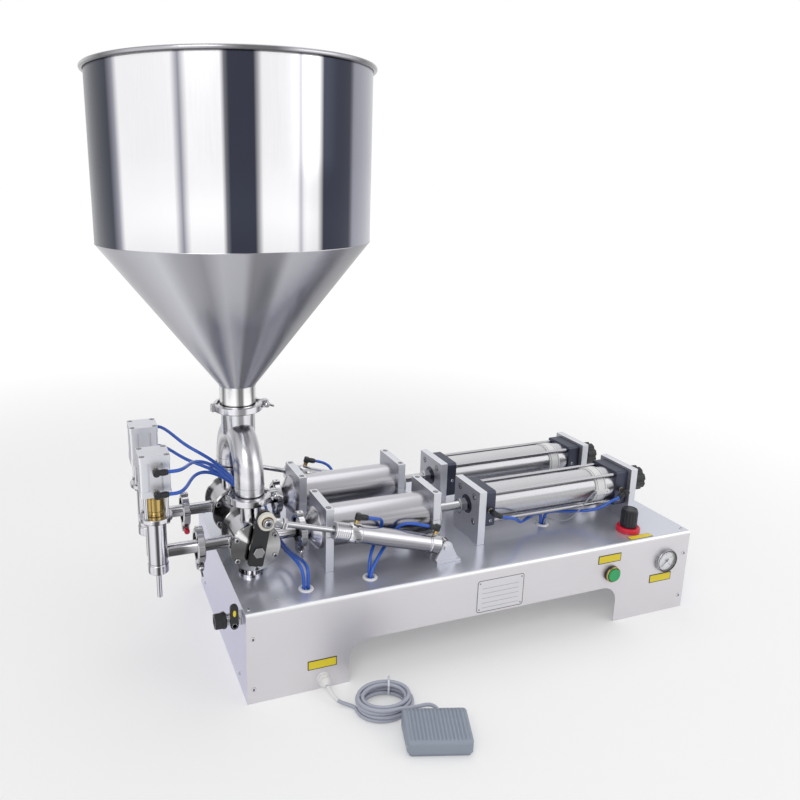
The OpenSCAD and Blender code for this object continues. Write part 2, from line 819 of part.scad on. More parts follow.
module manifold() color("silver") difference() {
    union() {
        translate([0, 0, arch_z]) arch(elbow_r);
        both() translate([0, row_y, elbow_joint_z]) {
            cylinder(r = elbow_r, h = elbow_leg);
            cylinder(r = elbow_ferrule_r, h = ferrule_t);
        }
        translate([0, 0, arch_z + row_pitch / 2]) cylinder(r = riser_r, h = riser_h);
        translate([0, 0, hopper_joint_z - ferrule_t]) cylinder(r = spout_ferrule_r, h = ferrule_t);
    }
    translate([0, 0, arch_z]) arch(elbow_r - pipe_wall);
    both() translate([0, row_y, elbow_joint_z - cut])
        cylinder(r = elbow_r - pipe_wall, h = elbow_leg + cut);
    translate([0, 0, arch_z + row_pitch / 2]) cylinder(r = riser_r - pipe_wall, h = riser_h + cut);
}

module tri_clamps() color("gainsboro") {
    translate([0, 0, hopper_joint_z]) tri_clamp(spout_ferrule_r);
    both() translate([0, row_y, elbow_joint_z]) tri_clamp(elbow_ferrule_r);
    both() for (x = [-port_reach, port_reach]) along_x(x) tri_clamp(port_ferrule_r);
}

// Material cylinders

module half_block(upper, height, rise, bore) {
    low = upper ? kerf / 2 : -height;
    high = upper ? rise : -kerf / 2;
    difference() {
        translate([0, -block_w / 2, low]) cube([block_t, block_w, high - low]);
        translate([-cut, 0, 0]) rotate([0, 90, 0]) cylinder(r = bore, h = block_t + 2 * cut);
    }
}

module material_blocks() color("gainsboro") both() for (x = [block1_x, block2_x], upper = [false, true])
    at_row(x) half_block(upper, axis_height, block_rise, material_r + fit);

module material_cylinders() color("silver") both() along_x(0) rotate_extrude() {
    inner = material_r - material_wall;
    polygon([[port_bore_r, port_reach], [port_ferrule_r, port_reach],
        [port_ferrule_r, port_reach + ferrule_t],
             [pipe_r, port_reach + ferrule_t], [pipe_r, cone_end_x - cone_len], [material_r, cone_end_x],
             [material_r, tube_end_x], [inner, tube_end_x], [inner, cone_end_x],
             [port_bore_r, cone_end_x - cone_len]]);
}

module piston() color("whitesmoke") along_x(piston_x) difference() {
    inner = material_r - material_wall - fit;
    cylinder(r = inner, h = piston_len);
    for (z = [seal_w, piston_len / 2]) translate([0, 0, z]) ring(material_r, inner - seal_depth, seal_w);
    translate([0, 0, seal_w]) cylinder(r = rod_r, h = piston_len);
}

module piston_rod() color("silver") {
    along_x(piston_x + seal_w) cylinder(r = rod_r, h = air_piston_x - piston_x);
    along_x(coupling_nut_x) cylinder(r = nut_r, h = nut_len, $fn = 6);
    along_x(air_piston_x) cylinder(r = barrel_r - barrel_wall - fit, h = air_piston_len);
}

// Air cylinders

module air_mounts() color("gainsboro") both() {
    at_row(mount1_x) mount_plate(gland_r);
    at_row(mount2_x) mount_plate(screw_r + fit);
}

module mount_plate(bore) difference() {
    translate([0, -block_w / 2, -axis_height]) cube([block_t, block_w, axis_height + mount_rise]);
    translate([-cut, 0, 0]) rotate([0, 90, 0]) cylinder(r = bore, h = block_t + 2 * cut);
}

module air_caps() color("darkslategray") both() {
    along_x(front_cap_x) difference() {
        union() {
            linear_extrude(front_cap_t) rounded(cap_w, cap_w, cap_corner_r);
            translate([0, 0, -block_t]) cylinder(r = gland_r, h = block_t);
        }
        translate([0, 0, -block_t - cut]) cylinder(r = rod_r + fit, h = front_cap_t + block_t + 2 * cut);
    }
    along_x(rear_cap_x) difference() {
        linear_extrude(rear_cap_t) rounded(cap_w, cap_w, cap_corner_r);
        translate([0, 0, -cut]) cylinder(r = screw_r + fit, h = rear_cap_t + 2 * cut);
    }
}

module air_barrels() color("silver") both() along_x(barrel_x) {
    ring(barrel_r, barrel_r - barrel_wall, rear_cap_x - barrel_x);
    for (y = [-1, 1], z = [-1, 1]) translate([y * tie_offset, z * tie_offset, 0])
        cylinder(r = tie_r, h = rear_cap_x - barrel_x);
}

module reed_sensors() color("white") both() {
    along_x(band_x) ring(barrel_r + band_t, barrel_r, band_w);
    at_row(band_x + (band_w - sensor_len) / 2) translate([0, -barrel_r - sensor_w, -sensor_w / 2])
        cube([sensor_len, sensor_w, sensor_w]);
}

module stop_screw() color("silver") along_x(screw_x)
    cylinder(r = screw_r, h = wheel_x + wheel_t + screw_end - screw_x);

module handwheel() color("black") along_x(wheel_x) difference() {
    union() {
        cylinder(r = wheel_r, h = wheel_t);
        translate([0, 0, hub_gap - wheel_gap / 2]) cylinder(r = hub_r, h = wheel_gap / 2);
    }
    for (i = [0:scallops - 1]) rotate([0, 0, 360 * i / scallops])
        translate([wheel_r + scallop_r / 2, 0, -cut])
        cylinder(r = scallop_r, h = wheel_t + 2 * cut);
    translate([0, 0, -wheel_gap]) cylinder(r = screw_r + fit, h = wheel_t + 2 * wheel_gap);
}

// Rotary valves

module valve_body() color("silver") difference() {
    union() {
        along_y(row_y - valve_len / 2, 0, axis_z) cylinder(r = valve_r, h = valve_len);
        at_row() cylinder(r = neck_r, h = neck_h);
        at_row(0, neck_h - ferrule_t) cylinder(r = elbow_ferrule_r, h = ferrule_t);
        along_x(-port_reach) cylinder(r = pipe_r, h = 2 * port_reach);
        for (x = [-port_reach, port_reach - ferrule_t]) along_x(x)
            cylinder(r = port_ferrule_r, h = ferrule_t);
        translate([0, row_y, deck_z]) cylinder(r = post_r, h = axis_height);
        translate([0, row_y, deck_z]) cylinder(r = foot_r, h = foot_t);
    }
    along_y(row_y - valve_len / 2 - cut, 0, axis_z) cylinder(r = rotor_r + fit, h = valve_len + 2 * cut);
    at_row() cylinder(r = neck_r - 2 * pipe_wall, h = neck_h + cut);
    along_x(-port_reach - cut) cylinder(r = port_bore_r, h = 2 * (port_reach + cut));
}

module valve_covers() color("silver") both() {
    valve_cover(row_y - valve_len / 2 - cover_t, shaft_r + fit, -bolt_head_h);
    valve_cover(row_y + valve_len / 2, shaft_r + fit, cover_t);
}

module valve_cover(y, bore, head_at) along_y(y, 0, axis_z) {
    difference() {
        cylinder(r = cover_r, h = cover_t);
        translate([0, 0, -cut]) cylinder(r = bore, h = cover_t + 2 * cut);
    }
    for (i = [0:cover_bolts - 1]) rotate([0, 0, 180 * (2 * i + 1) / cover_bolts])
        translate([cover_r - bolt_inset, 0, head_at]) cylinder(r = 2 * bolt_r - cut, h = bolt_head_h);
}

module valve_rotor() color("silver") {
    length = valve_len - 2 * fit;
    along_y(row_y - length / 2, 0, axis_z) difference() {
        cylinder(r = rotor_r, h = length);
        translate([0, 0, pocket_land]) rotate_extrude(angle = pocket_angle, start = pocket_start)
            translate([core_r, 0]) square([rotor_r, length - 2 * pocket_land]);
    }
    shaft_y = lever_y - lever_t - shaft_nut_t;
    along_y(shaft_y, 0, axis_z) cylinder(r = shaft_r, h = row_y + valve_len / 2 + cover_t - shaft_y);
    along_y(shaft_y, 0, axis_z) cylinder(r = shaft_nut_r, h = shaft_nut_t, $fn = 6);
}

module valve_lever() color("dimgray") {
    translate([0, lever_y - lever_t, axis_z]) rotate([0, lever_lean, 0]) difference() {
        union() {
            translate([-lever_w / 2, 0, -lever_tail]) cube([lever_w, lever_t, lever_tail + lever_len]);
            translate([0, 0, lever_len]) rotate([-90, 0, 0]) cylinder(r = lever_w / 2, h = lever_t);
        }
        translate([0, -cut, 0]) rotate([-90, 0, 0]) cylinder(r = shaft_r + fit, h = lever_t + 2 * cut);
    }
    pin_y = actuator_y + eye_t / 2 + gap;
    along_y(pin_y, eye_x, eye_z) cylinder(r = pin_collar_r, h = lever_y - lever_t - pin_y);
    along_y(actuator_y - eye_t / 2 - gap, eye_x, eye_z) cylinder(r = lever_pin_r, h = eye_t + 2 * gap);
    along_y(actuator_y - eye_t / 2 - gap - pin_head_t, eye_x, eye_z)
        cylinder(r = pin_head_r, h = pin_head_t);
}

// Nozzle heads

module nozzle_body() color("silver") difference() {
    union() {
        translate([-nozzle_reach, row_y, nozzle_bottom_z])
            cylinder(r = nozzle_r, h = nozzle_up + nozzle_down);
        translate([-nozzle_reach, row_y, nozzle_top_z]) cylinder(r = nozzle_flange_r, h = flange_t);
        along_x(-nozzle_reach) cylinder(r = pipe_r, h = nozzle_reach - port_reach);
        along_x(-port_reach - ferrule_t) cylinder(r = port_ferrule_r, h = ferrule_t);
    }
    translate([-nozzle_reach, row_y, nozzle_bottom_z - cut])
        cylinder(r = nozzle_bore_r, h = nozzle_up + nozzle_down + flange_t + 2 * cut);
    along_x(-nozzle_reach) cylinder(r = port_bore_r, h = nozzle_reach);
}

module nozzle_spacers() color("darkgoldenrod") both() translate([-nozzle_reach, row_y, spacer_z]) {
    ring(spacer_r, plunger_r + gap, spacer_h);
    for (x = [-1, 1], y = [-1, 1]) translate([x * standoff_at, y * standoff_at, 0])
        cylinder(r = standoff_r, h = spacer_h);
}

module nozzle_tips() color("silver") both() translate([-nozzle_reach, row_y, 0]) difference() {
    union() {
        translate([0, 0, union_z]) cylinder(r = union_r, h = union_h);
        translate([0, 0, tip_z]) cylinder(r = tip_r, h = tip_len);
    }
    translate([0, 0, tip_z - cut]) cylinder(r = tip_bore_r, h = tip_len + union_h + 2 * cut);
}

module nozzle_cylinders() color("whitesmoke") both() translate([-nozzle_reach, row_y, head_z])
    difference() {
    linear_extrude(head_h) rounded(head_w, head_w, head_corner_r);
    translate([0, 0, -cut]) cylinder(r = plunger_r + fit, h = head_floor + 2 * cut);
    translate([0, 0, head_floor]) cylinder(r = head_bore_r, h = head_h - head_floor - head_roof);
}

module plunger() color("silver") translate([-nozzle_reach, row_y, 0]) {
    translate([0, 0, nozzle_bottom_z + gap])
        cylinder(r = plunger_r, h = head_z + head_floor - nozzle_bottom_z);
    translate([0, 0, head_z + head_floor + gap]) cylinder(r = head_bore_r - fit, h = plunger_head_t);
    translate([0, 0, nozzle_top_z - wiper_drop]) cylinder(r = nozzle_bore_r - fit, h = wiper_t);
}

// Valve actuators

module on_actuator() translate([clevis_x, actuator_y, clevis_z]) rotate([0, actuator_tilt, 0])
    rotate([0, -90, 0]) children();

module actuator_brackets() color("silver") both() translate([clevis_x, actuator_y, deck_z]) {
    for (s = [-1, 1]) {
        inner = tongue_t / 2 + cheek_gap;
        y = s > 0 ? inner : -inner - cheek_t;
        difference() {
            union() {
                translate([-cheek_top_r, y, 0]) cube([2 * cheek_top_r, cheek_t, clevis_h]);
                translate([0, y, clevis_h]) rotate([-90, 0, 0]) cylinder(r = cheek_top_r, h = cheek_t);
                translate([0, y + cheek_t, 0]) rotate([90, 0, 0]) linear_extrude(cheek_t)
                    polygon([[-cheek_foot_w / 2, 0], [cheek_foot_w / 2, 0],
                        [cheek_top_r, clevis_h], [-cheek_top_r, clevis_h]]);
                translate([-cheek_foot_w / 2, s > 0 ? y : y + cheek_t - bracket_foot - cheek_t, 0])
                    cube([cheek_foot_w, bracket_foot + cheek_t, cheek_t]);
            }
            translate([0, y - cut, clevis_h]) rotate([-90, 0, 0])
                cylinder(r = clevis_pin_r, h = cheek_t + 2 * cut);
        }
    }
    width = tongue_t / 2 + cheek_gap + cheek_t;
    translate([0, -width, clevis_h]) rotate([-90, 0, 0]) cylinder(r = clevis_pin_r, h = 2 * width);
    for (y = [-width - clevis_head_t, width]) translate([0, y, clevis_h]) rotate([-90, 0, 0])
        cylinder(r = clevis_head_r, h = clevis_head_t);
}

module actuator_barrel() color("silver") {
    difference() {
        union() {
            on_actuator() translate([0, 0, barrel_start]) cylinder(r = actuator_r, h = actuator_len);
            on_actuator() translate([0, 0, tongue_len]) cylinder(r = actuator_r + cap_rim, h = cap_len);
            on_actuator() translate([0, 0, barrel_stop])
                cylinder(r = actuator_r + cap_rim, h = nose_cap_len);
            on_actuator() translate([0, 0, nose_start]) cylinder(r = nose_r, h = nose_len);
            for (i = [0:nose_rings - 1]) on_actuator()
                translate([0, 0, nose_start + i * nose_len * ring_step_share])
                    cylinder(r = nose_r + cap_rim, h = nose_len * ring_step_share / 2);
            on_actuator() translate([-tongue_r, -tongue_t / 2, 0])
                cube([2 * tongue_r, tongue_t, tongue_len]);
            on_actuator() translate([0, -tongue_t / 2, 0]) rotate([-90, 0, 0])
                cylinder(r = tongue_r, h = tongue_t);
        }
        on_actuator() translate([0, -tongue_t, 0]) rotate([-90, 0, 0])
            cylinder(r = open_pivot_r, h = 2 * tongue_t);
        on_actuator() translate([0, 0, barrel_start + bore_end])
            cylinder(r = barrel_inner_r, h = actuator_len - 2 * bore_end);
        on_actuator() translate([0, 0, barrel_start + bore_end]) cylinder(r = link_r + fit, h = pin_to_eye);
    }
    on_actuator() translate([actuator_r, 0, barrel_stop + nose_cap_len / 2])
        rotate([0, 90, 0]) elbow_fitting();
    on_actuator() translate([actuator_r, 0, tongue_len + cap_len / 2]) rotate([0, 90, 0])
        rotate([0, 0, 180]) elbow_fitting();
}

module actuator_rod() color("silver") {
    piston_at = barrel_stop - bore_end - link_piston_len - gap;
    on_actuator() translate([0, 0, piston_at]) cylinder(r = barrel_inner_r - fit, h = link_piston_len);
    difference() {
        union() {
            on_actuator() translate([0, 0, piston_at + link_piston_len / 2])
                cylinder(r = link_r, h = pin_to_eye - piston_at - link_piston_len / 2);
            on_actuator() translate([0, 0, pin_to_eye - eye_neck])
                cylinder(r = eye_shank_r, h = eye_neck - pin_head_r - gap);
            on_actuator() translate([0, 0, pin_to_eye - eye_neck - link_nut_len])
                cylinder(r = link_nut_r, h = link_nut_len, $fn = 6);
            along_y(actuator_y - eye_t / 2, eye_x, eye_z) cylinder(r = eye_r, h = eye_t);
        }
        along_y(actuator_y - eye_t, eye_x, eye_z) cylinder(r = lever_pin_r + fit, h = 2 * eye_t);
    }
}

// Point of the actuator at a distance along it and a height over its axis
function actuator_point(at, over) =
    [clevis_x - at * cos(actuator_tilt) + over * sin(actuator_tilt), actuator_y,
     clevis_z + at * sin(actuator_tilt) + over * cos(actuator_tilt)];

// The end of a hose that drops straight through a grommet, off its middle by the vector aside
function grommet_end(g, aside) =
    [for (z = [deck_z + 2 * hose_d, deck_z, inner_z - hose_drop]) [g.x + aside.x, row_y + g.y + aside.y, z]];

// The first two points of a hose that leaves a fitting squarely
function straight_start(p, way) = [p, p + way * hose_d];

function routed(route) = [for (p = route) [p.x, row_y + p.y, deck_z + p.z]];

module hose(p) swept_tube(smooth(p, 3), hose_r, hose_sides);

module actuator_hoses() color("royalblue") {
    over = actuator_r + fitting_stem + fitting_r;
    way = [cos(actuator_tilt), 0, -sin(actuator_tilt)];
    nose_end = actuator_point(barrel_stop + nose_cap_len / 2 - fitting_len - gap, over);
    tail_end = actuator_point(tongue_len + cap_len / 2 + fitting_len + gap, over);
    hose(concat(straight_start(nose_end, way), routed(nose_hose_route),
        grommet_end(lever_grommet, [0, hose_apart])));
    hose(concat(straight_start(tail_end, -way), routed(tail_hose_route),
        grommet_end(lever_grommet, [0, -hose_apart])));
}

// Fittings on the front faces of the air cylinder caps and of the nozzle cylinders

module cap_fitting(x, turn) at_row(x, -cap_port_drop) translate([0, -cap_w / 2, 0])
    rotate([90, 0, 0]) rotate([0, 0, turn]) elbow_fitting();

module head_fitting(z) translate([-nozzle_reach, row_y - head_w / 2, z]) rotate([90, 0, 0]) elbow_fitting();

module air_fittings() color("black") both() {
    cap_fitting(front_port_x, -cap_port_turn);
    cap_fitting(rear_port_x, cap_port_turn - half_turn);
    head_fitting(upper_port_z);
    head_fitting(lower_port_z);
}

module air_hoses() color("royalblue") both() {
    cap_y = row_y - cap_w / 2 - fitting_stem - fitting_r;
    head_y = row_y - head_w / 2 - fitting_stem - fitting_r;
    cap_z = axis_z - cap_port_drop;
    for (p = [[front_port_x, 1, front_cap_hose_route], [rear_port_x, -1, rear_cap_hose_route]]) {
        way = [p[1] * cos(cap_port_turn), 0, -sin(cap_port_turn)];
        hose(concat(straight_start([p[0], cap_y, cap_z] + fitting_len * way, way), routed(p[2]),
                    grommet_end(barrel_grommet, [-p[1] * hose_apart, 0])));
    }
    for (p = [[upper_port_z, 1, upper_hose_route], [lower_port_z, -1, lower_hose_route]])
        hose(concat(straight_start([fitting_len - nozzle_reach, head_y, p[0]], [1, 0, 0]), routed(p[2]),
                    grommet_end(nozzle_grommet, [-p[1] * hose_apart, 0])));
}

// Pedal

module on_pedal() translate([pedal_at.x, pedal_at.y, 0]) rotate([0, 0, pedal_turn]) children();

module pedal_base() color("lightsteelblue") on_pedal() {
    inset = cover_wall + pedal_gap;
    difference() {
        union() {
            linear_extrude(pedal_base_h)
                rounded(pedal_l - 2 * inset, pedal_w - 2 * inset, pedal_corner - inset);
            translate([-switch_size.x / 2, -switch_size.y / 2, pedal_base_h]) cube(switch_size);
        }
    }
    for (s = [-1, 1]) translate([s * (pedal_l / 2 - inset), pedal_pin_y, pedal_pin_z])
        rotate([0, s * 90, 0])
        cylinder(r = pedal_pin_r, h = inset);
}

module pedal_side(drop) {
    ridge = pedal_w * pedal_ridge_share;
    polygon([[-pedal_w / 2 + drop, skirt_z], [-pedal_w / 2 + drop, pedal_front_h - drop],
             [ridge, pedal_h - drop], [pedal_w / 2 - drop, pedal_back_h - drop],
             [pedal_w / 2 - drop, back_skirt_z]]);
}

module along_pedal(length) translate([-length / 2, 0, 0]) rotate([90, 0, 90])
    linear_extrude(length) children();

module pedal_cover() color("lightsteelblue") on_pedal() difference() {
    intersection() {
        along_pedal(pedal_l) pedal_side(0);
        linear_extrude(pedal_h + cut) rounded(pedal_l, pedal_w, pedal_corner);
    }
    along_pedal(pedal_l - 2 * cover_wall) {
        pedal_side(cover_wall);
        translate([-pedal_w / 2 + cover_wall, 0])
            square([pedal_w - 2 * cover_wall, back_skirt_z + cover_wall]);
    }
    translate([-pedal_l, pedal_pin_y, pedal_pin_z]) rotate([0, 90, 0])
        cylinder(r = pedal_pin_r + fit, h = 2 * pedal_l);
    translate([pedal_gland_x - notch_w / 2, 0, 0]) cube([notch_w, pedal_w, back_skirt_z + notch_h]);
}

// Cord, coil and glands

function pedal_point(x, y, z) =
    [pedal_at.x + x * cos(pedal_turn) - y * sin(pedal_turn),
     pedal_at.y + x * sin(pedal_turn) + y * cos(pedal_turn), z];

pedal_back = pedal_w / 2 - cover_wall - pedal_gap;
tail_end = pedal_point(pedal_gland_x, pedal_back + pedal_gland_len, pedal_gland_z);
tail_before = pedal_point(pedal_gland_x, pedal_back + pedal_gland_len + cord_d, pedal_gland_z);

// Loops spiral in through one layer and out through the next. In each climb the spiral reverses.
function climb(s) = s < 0 ? 0 : s > 1 ? 1 : (1 - cos(180 * s)) / 2;
function layer_of(t) = min(floor(t / (layer_turns + climb_share)), layers - 1);
function coil_point(t) =
    let (layer = layer_of(t), s = t - layer * (layer_turns + climb_share),
         run = min(s, layer_turns), inward = layer % 2 == 0 ? run : layer_turns - run,
         rise = layer + climb((s - layer_turns) / climb_share),
         a = coil_start_angle + 360 * t, draw = coil_step * inward)
    [coil_at.x + (coil_a - draw) * cos(a), coil_at.y + (coil_b - draw) * sin(a),
     coil_low_z + coil_rise * rise];

coil_rings = round(coil_turns * loop_rings);
coil_loops = [for (i = [0:coil_rings]) coil_point(coil_turns * i / coil_rings)];
coil_entry = coil_loops[0] + [0, cord_d, 0];
coil_exit = coil_loops[coil_rings] + [cord_d, 0, 0];
coil_path = concat([coil_entry], coil_loops, [coil_exit]);

// Least gap between loops: points a quarter loop or more apart along the cord
coil_gap = min([for (i = [0:coil_rings], j = [i + loop_rings / 4:coil_rings])
                norm(coil_loops[i] - coil_loops[j])]) - cord_d;
echo(coil_gap = coil_gap);

module cord_lead() color("silver") {
    route = concat([lead_start, lead_second], lead_route, [coil_entry + [0, cord_d, 0], coil_entry]);
    swept_tube(smooth(route, 3), cord_r, hose_sides);
}

module cord_coil() color("silver") swept_tube(coil_path, cord_r, coil_sides);

module cord_tail() color("silver") {
    route = concat([coil_exit], tail_route, [tail_before, tail_end]);
    swept_tube(smooth(route, 3), cord_r, hose_sides);
}

module cord_glands() color("white") {
    translate([gland_x, front_y, gland_z]) rotate([90, 0, 0]) {
        translate([0, 0, -sheet]) cylinder(r = panel_gland_nose_r, h = sheet);
        translate([0, 0, -sheet - panel_gland_nut])
            cylinder(r = panel_gland_r, h = panel_gland_nut, $fn = 6);
        cylinder(r = panel_gland_r, h = panel_gland_nut, $fn = 6);
        cylinder(r = panel_gland_nose_r, h = panel_gland_len);
    }
    on_pedal() translate([pedal_gland_x, pedal_back, pedal_gland_z]) rotate([-90, 0, 0])
        cylinder(r = pedal_gland_r, h = pedal_gland_len);
}

base_shell();
end_panels();
label_plates();
gauge_case();
gauge_needle();
button_bezel();
button_cap();
regulator_body();
regulator_knob();
inlet_valve();
inlet_lever();
valve_block();
deck_grommets();
hopper();
manifold();
tri_clamps();
material_blocks();
material_cylinders();
air_mounts();
air_caps();
air_barrels();
reed_sensors();
valve_body();  // front_valve_body
rear() valve_body();  // rear_valve_body
valve_covers();
valve_rotor();  // front_valve_rotor
rear() valve_rotor();  // rear_valve_rotor
valve_lever();  // front_valve_lever
rear() valve_lever();  // rear_valve_lever
piston();  // front_piston
rear() piston();  // rear_piston
piston_rod();  // front_piston_rod
rear() piston_rod();  // rear_piston_rod
stop_screw();  // front_stop_screw
rear() stop_screw();  // rear_stop_screw
handwheel();  // front_handwheel
rear() handwheel();  // rear_handwheel
nozzle_body();  // front_nozzle_body
rear() nozzle_body();  // rear_nozzle_body
nozzle_spacers();
nozzle_tips();
nozzle_cylinders();
plunger();  // front_plunger
rear() plunger();  // rear_plunger
actuator_brackets();
actuator_rod();  // front_actuator_rod
rear() actuator_rod();  // rear_actuator_rod
actuator_barrel();  // front_actuator_barrel
rear() actuator_barrel();  // rear_actuator_barrel
actuator_hoses();  // front_actuator_hoses
rear() actuator_hoses();  // rear_actuator_hoses
air_fittings();
air_hoses();
pedal_base();
pedal_cover();
cord_glands();
cord_lead();
cord_coil();
cord_tail();
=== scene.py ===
import json
import math
from itertools import product

import bmesh
import bpy
from mathutils import Matrix, Vector

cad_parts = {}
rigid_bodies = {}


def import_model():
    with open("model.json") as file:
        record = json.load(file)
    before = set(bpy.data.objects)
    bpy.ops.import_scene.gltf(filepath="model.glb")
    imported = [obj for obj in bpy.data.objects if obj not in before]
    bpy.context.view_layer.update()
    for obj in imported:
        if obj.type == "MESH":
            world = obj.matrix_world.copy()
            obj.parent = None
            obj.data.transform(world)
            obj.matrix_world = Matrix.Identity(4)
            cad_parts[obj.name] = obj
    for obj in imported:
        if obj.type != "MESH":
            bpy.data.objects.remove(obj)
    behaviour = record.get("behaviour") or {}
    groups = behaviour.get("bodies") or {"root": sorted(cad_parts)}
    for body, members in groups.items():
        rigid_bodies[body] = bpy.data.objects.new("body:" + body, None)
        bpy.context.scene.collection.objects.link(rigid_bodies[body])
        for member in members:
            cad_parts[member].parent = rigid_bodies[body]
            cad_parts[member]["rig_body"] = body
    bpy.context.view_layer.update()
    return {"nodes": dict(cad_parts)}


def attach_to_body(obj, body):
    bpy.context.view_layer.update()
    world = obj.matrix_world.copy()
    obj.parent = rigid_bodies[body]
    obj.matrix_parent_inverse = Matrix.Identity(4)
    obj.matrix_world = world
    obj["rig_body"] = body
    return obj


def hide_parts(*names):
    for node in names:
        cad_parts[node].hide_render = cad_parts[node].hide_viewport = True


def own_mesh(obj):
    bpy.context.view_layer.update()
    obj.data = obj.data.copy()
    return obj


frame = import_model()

nodes = frame["nodes"]
scene = bpy.context.scene
MM = 0.001

# Places and outlines


def shift(x=0.0, y=0.0, z=0.0):
    return Matrix.Translation((x, y, z))


def spin(degrees, axis="Z"):
    return Matrix.Rotation(math.radians(degrees), 4, axis)


def place(x, y, z, axis="Z", turn=0.0):
    """A place in millimetres whose own Z points along axis."""
    turns = {"Z": (0, "X"), "X": (90, "Y"), "-X": (-90, "Y"), "Y": (-90, "X"), "-Y": (90, "X")}
    return shift(x, y, z) @ spin(*turns[axis]) @ spin(turn)


def polar(r, degrees, x=0.0, y=0.0):
    a = math.radians(degrees)
    return x + r * math.cos(a), y + r * math.sin(a)


def arc(r, start, end, n, x=0.0, y=0.0):
    """Points round x, y from one angle to another, in n steps."""
    return [polar(r, start + (end - start) * k / n, x, y) for k in range(n + 1)]


def circle(r, n):
    return arc(r, 0, 360, n)[:-1]


def rounded(w, h, r, n=6):
    """Outline of a rectangle with rounded corners, round the origin."""
    corners = ((1, 1, 0), (-1, 1, 90), (-1, -1, 180), (1, -1, 270))
    return [p for x, y, a in corners for p in arc(r, a, a + 90, n, x * (w / 2 - r), y * (h / 2 - r))]


def share(value):
    """A value kept between 0 and 1."""
    return min(1.0, max(0.0, value))


# Main places of part.scad, in millimetres

DECK, SHEET, FRONT = 165.0, 2.0, -200.0
AXIS, ROW = 231.0, -73.0
BLOCKS, MOUNTS, BLOCK_T, BLOCK_RISE = (123.5, 332.0), (428.0, 776.0), 15.0, 53.0
MOUNT_END = MOUNTS[1] + BLOCK_T
SPOUT_FERRULE, ELBOW_FERRULE, ROW_FERRULE = 38.75, 32.0, 25.25
HOPPER_R, SPOUT_R = 225.0, 31.75
HOPPER_FOOT, CONE_FOOT, CONE_TOP, HOPPER_TOP, ELBOW_FOOT = 450.0, 489.0, 737.5, 1000.0, 308.0
NOZZLE_FOOT, NOZZLE_TOP, HEAD_FOOT, HEAD_TOP = 214.0, 300.0, 340.0, 410.0
PORT, NOZZLE_X = 90.0, -160.0
LEVER, LEVER_TURN = 60.0, 11.5
ACT_Y = ROW - 65.0
CLEVIS = Vector((346.0, ACT_Y, DECK + 26.0))
EYE_X, EYE_Z = polar(LEVER, 90 - LEVER_TURN, 0, AXIS)
EYE = Vector((EYE_X, ACT_Y, EYE_Z))
WAY = (CLEVIS - EYE).normalized()
PIN_TO_EYE = (EYE - CLEVIS).length
PEDAL = shift(213, -368) @ spin(-17)
SIDES = {"front": Matrix(), "rear": Matrix.Diagonal((1, -1, 1, 1))}


def on_row(side, x=0.0, y=0.0, z=0.0, axis="X", turn=0.0):
    """A place by a row: x along the base, y and z from the row's axis."""
    return side @ place(x, ROW + y, AXIS + z, axis, turn)


# Camera, fitted to the cabinet's edges in the photo

camera = bpy.data.objects.new("camera", bpy.data.cameras.new("camera"))
scene.collection.objects.link(camera)
camera.location = (-0.2821, -1.1979, 0.8361)
camera.rotation_euler = (math.radians(90 - 13.8595), 0, math.radians(-18.588))
camera.data.lens = 32.757
camera.data.sensor_width = 36
camera.data.shift_x = 0.12143
camera.data.shift_y = -0.05114
camera.data.clip_start = 0.01
scene.camera = camera
scene.view_settings.view_transform = "Standard"

# Materials


class Nodes:
    """The shader nodes of a material or a world."""

    def __init__(self, owner):
        owner.use_nodes = True
        self.tree = owner.node_tree

    def wire(self, node, socket, value):
        """Links an input to an output, or sets it to a value."""
        if isinstance(value, bpy.types.NodeSocket):
            self.tree.links.new(value, node.inputs[socket])
        else:
            node.inputs[socket].default_value = value

    def add(self, kind, inputs=(), **settings):
        made = self.tree.nodes.new("ShaderNode" + kind)
        for key, value in settings.items():
            setattr(made, key, value)
        for socket, value in dict(inputs).items():
            self.wire(made, socket, value)
        return made

    def math(self, operation, *values):
        return self.add("Math", enumerate(values), operation=operation).outputs[0]


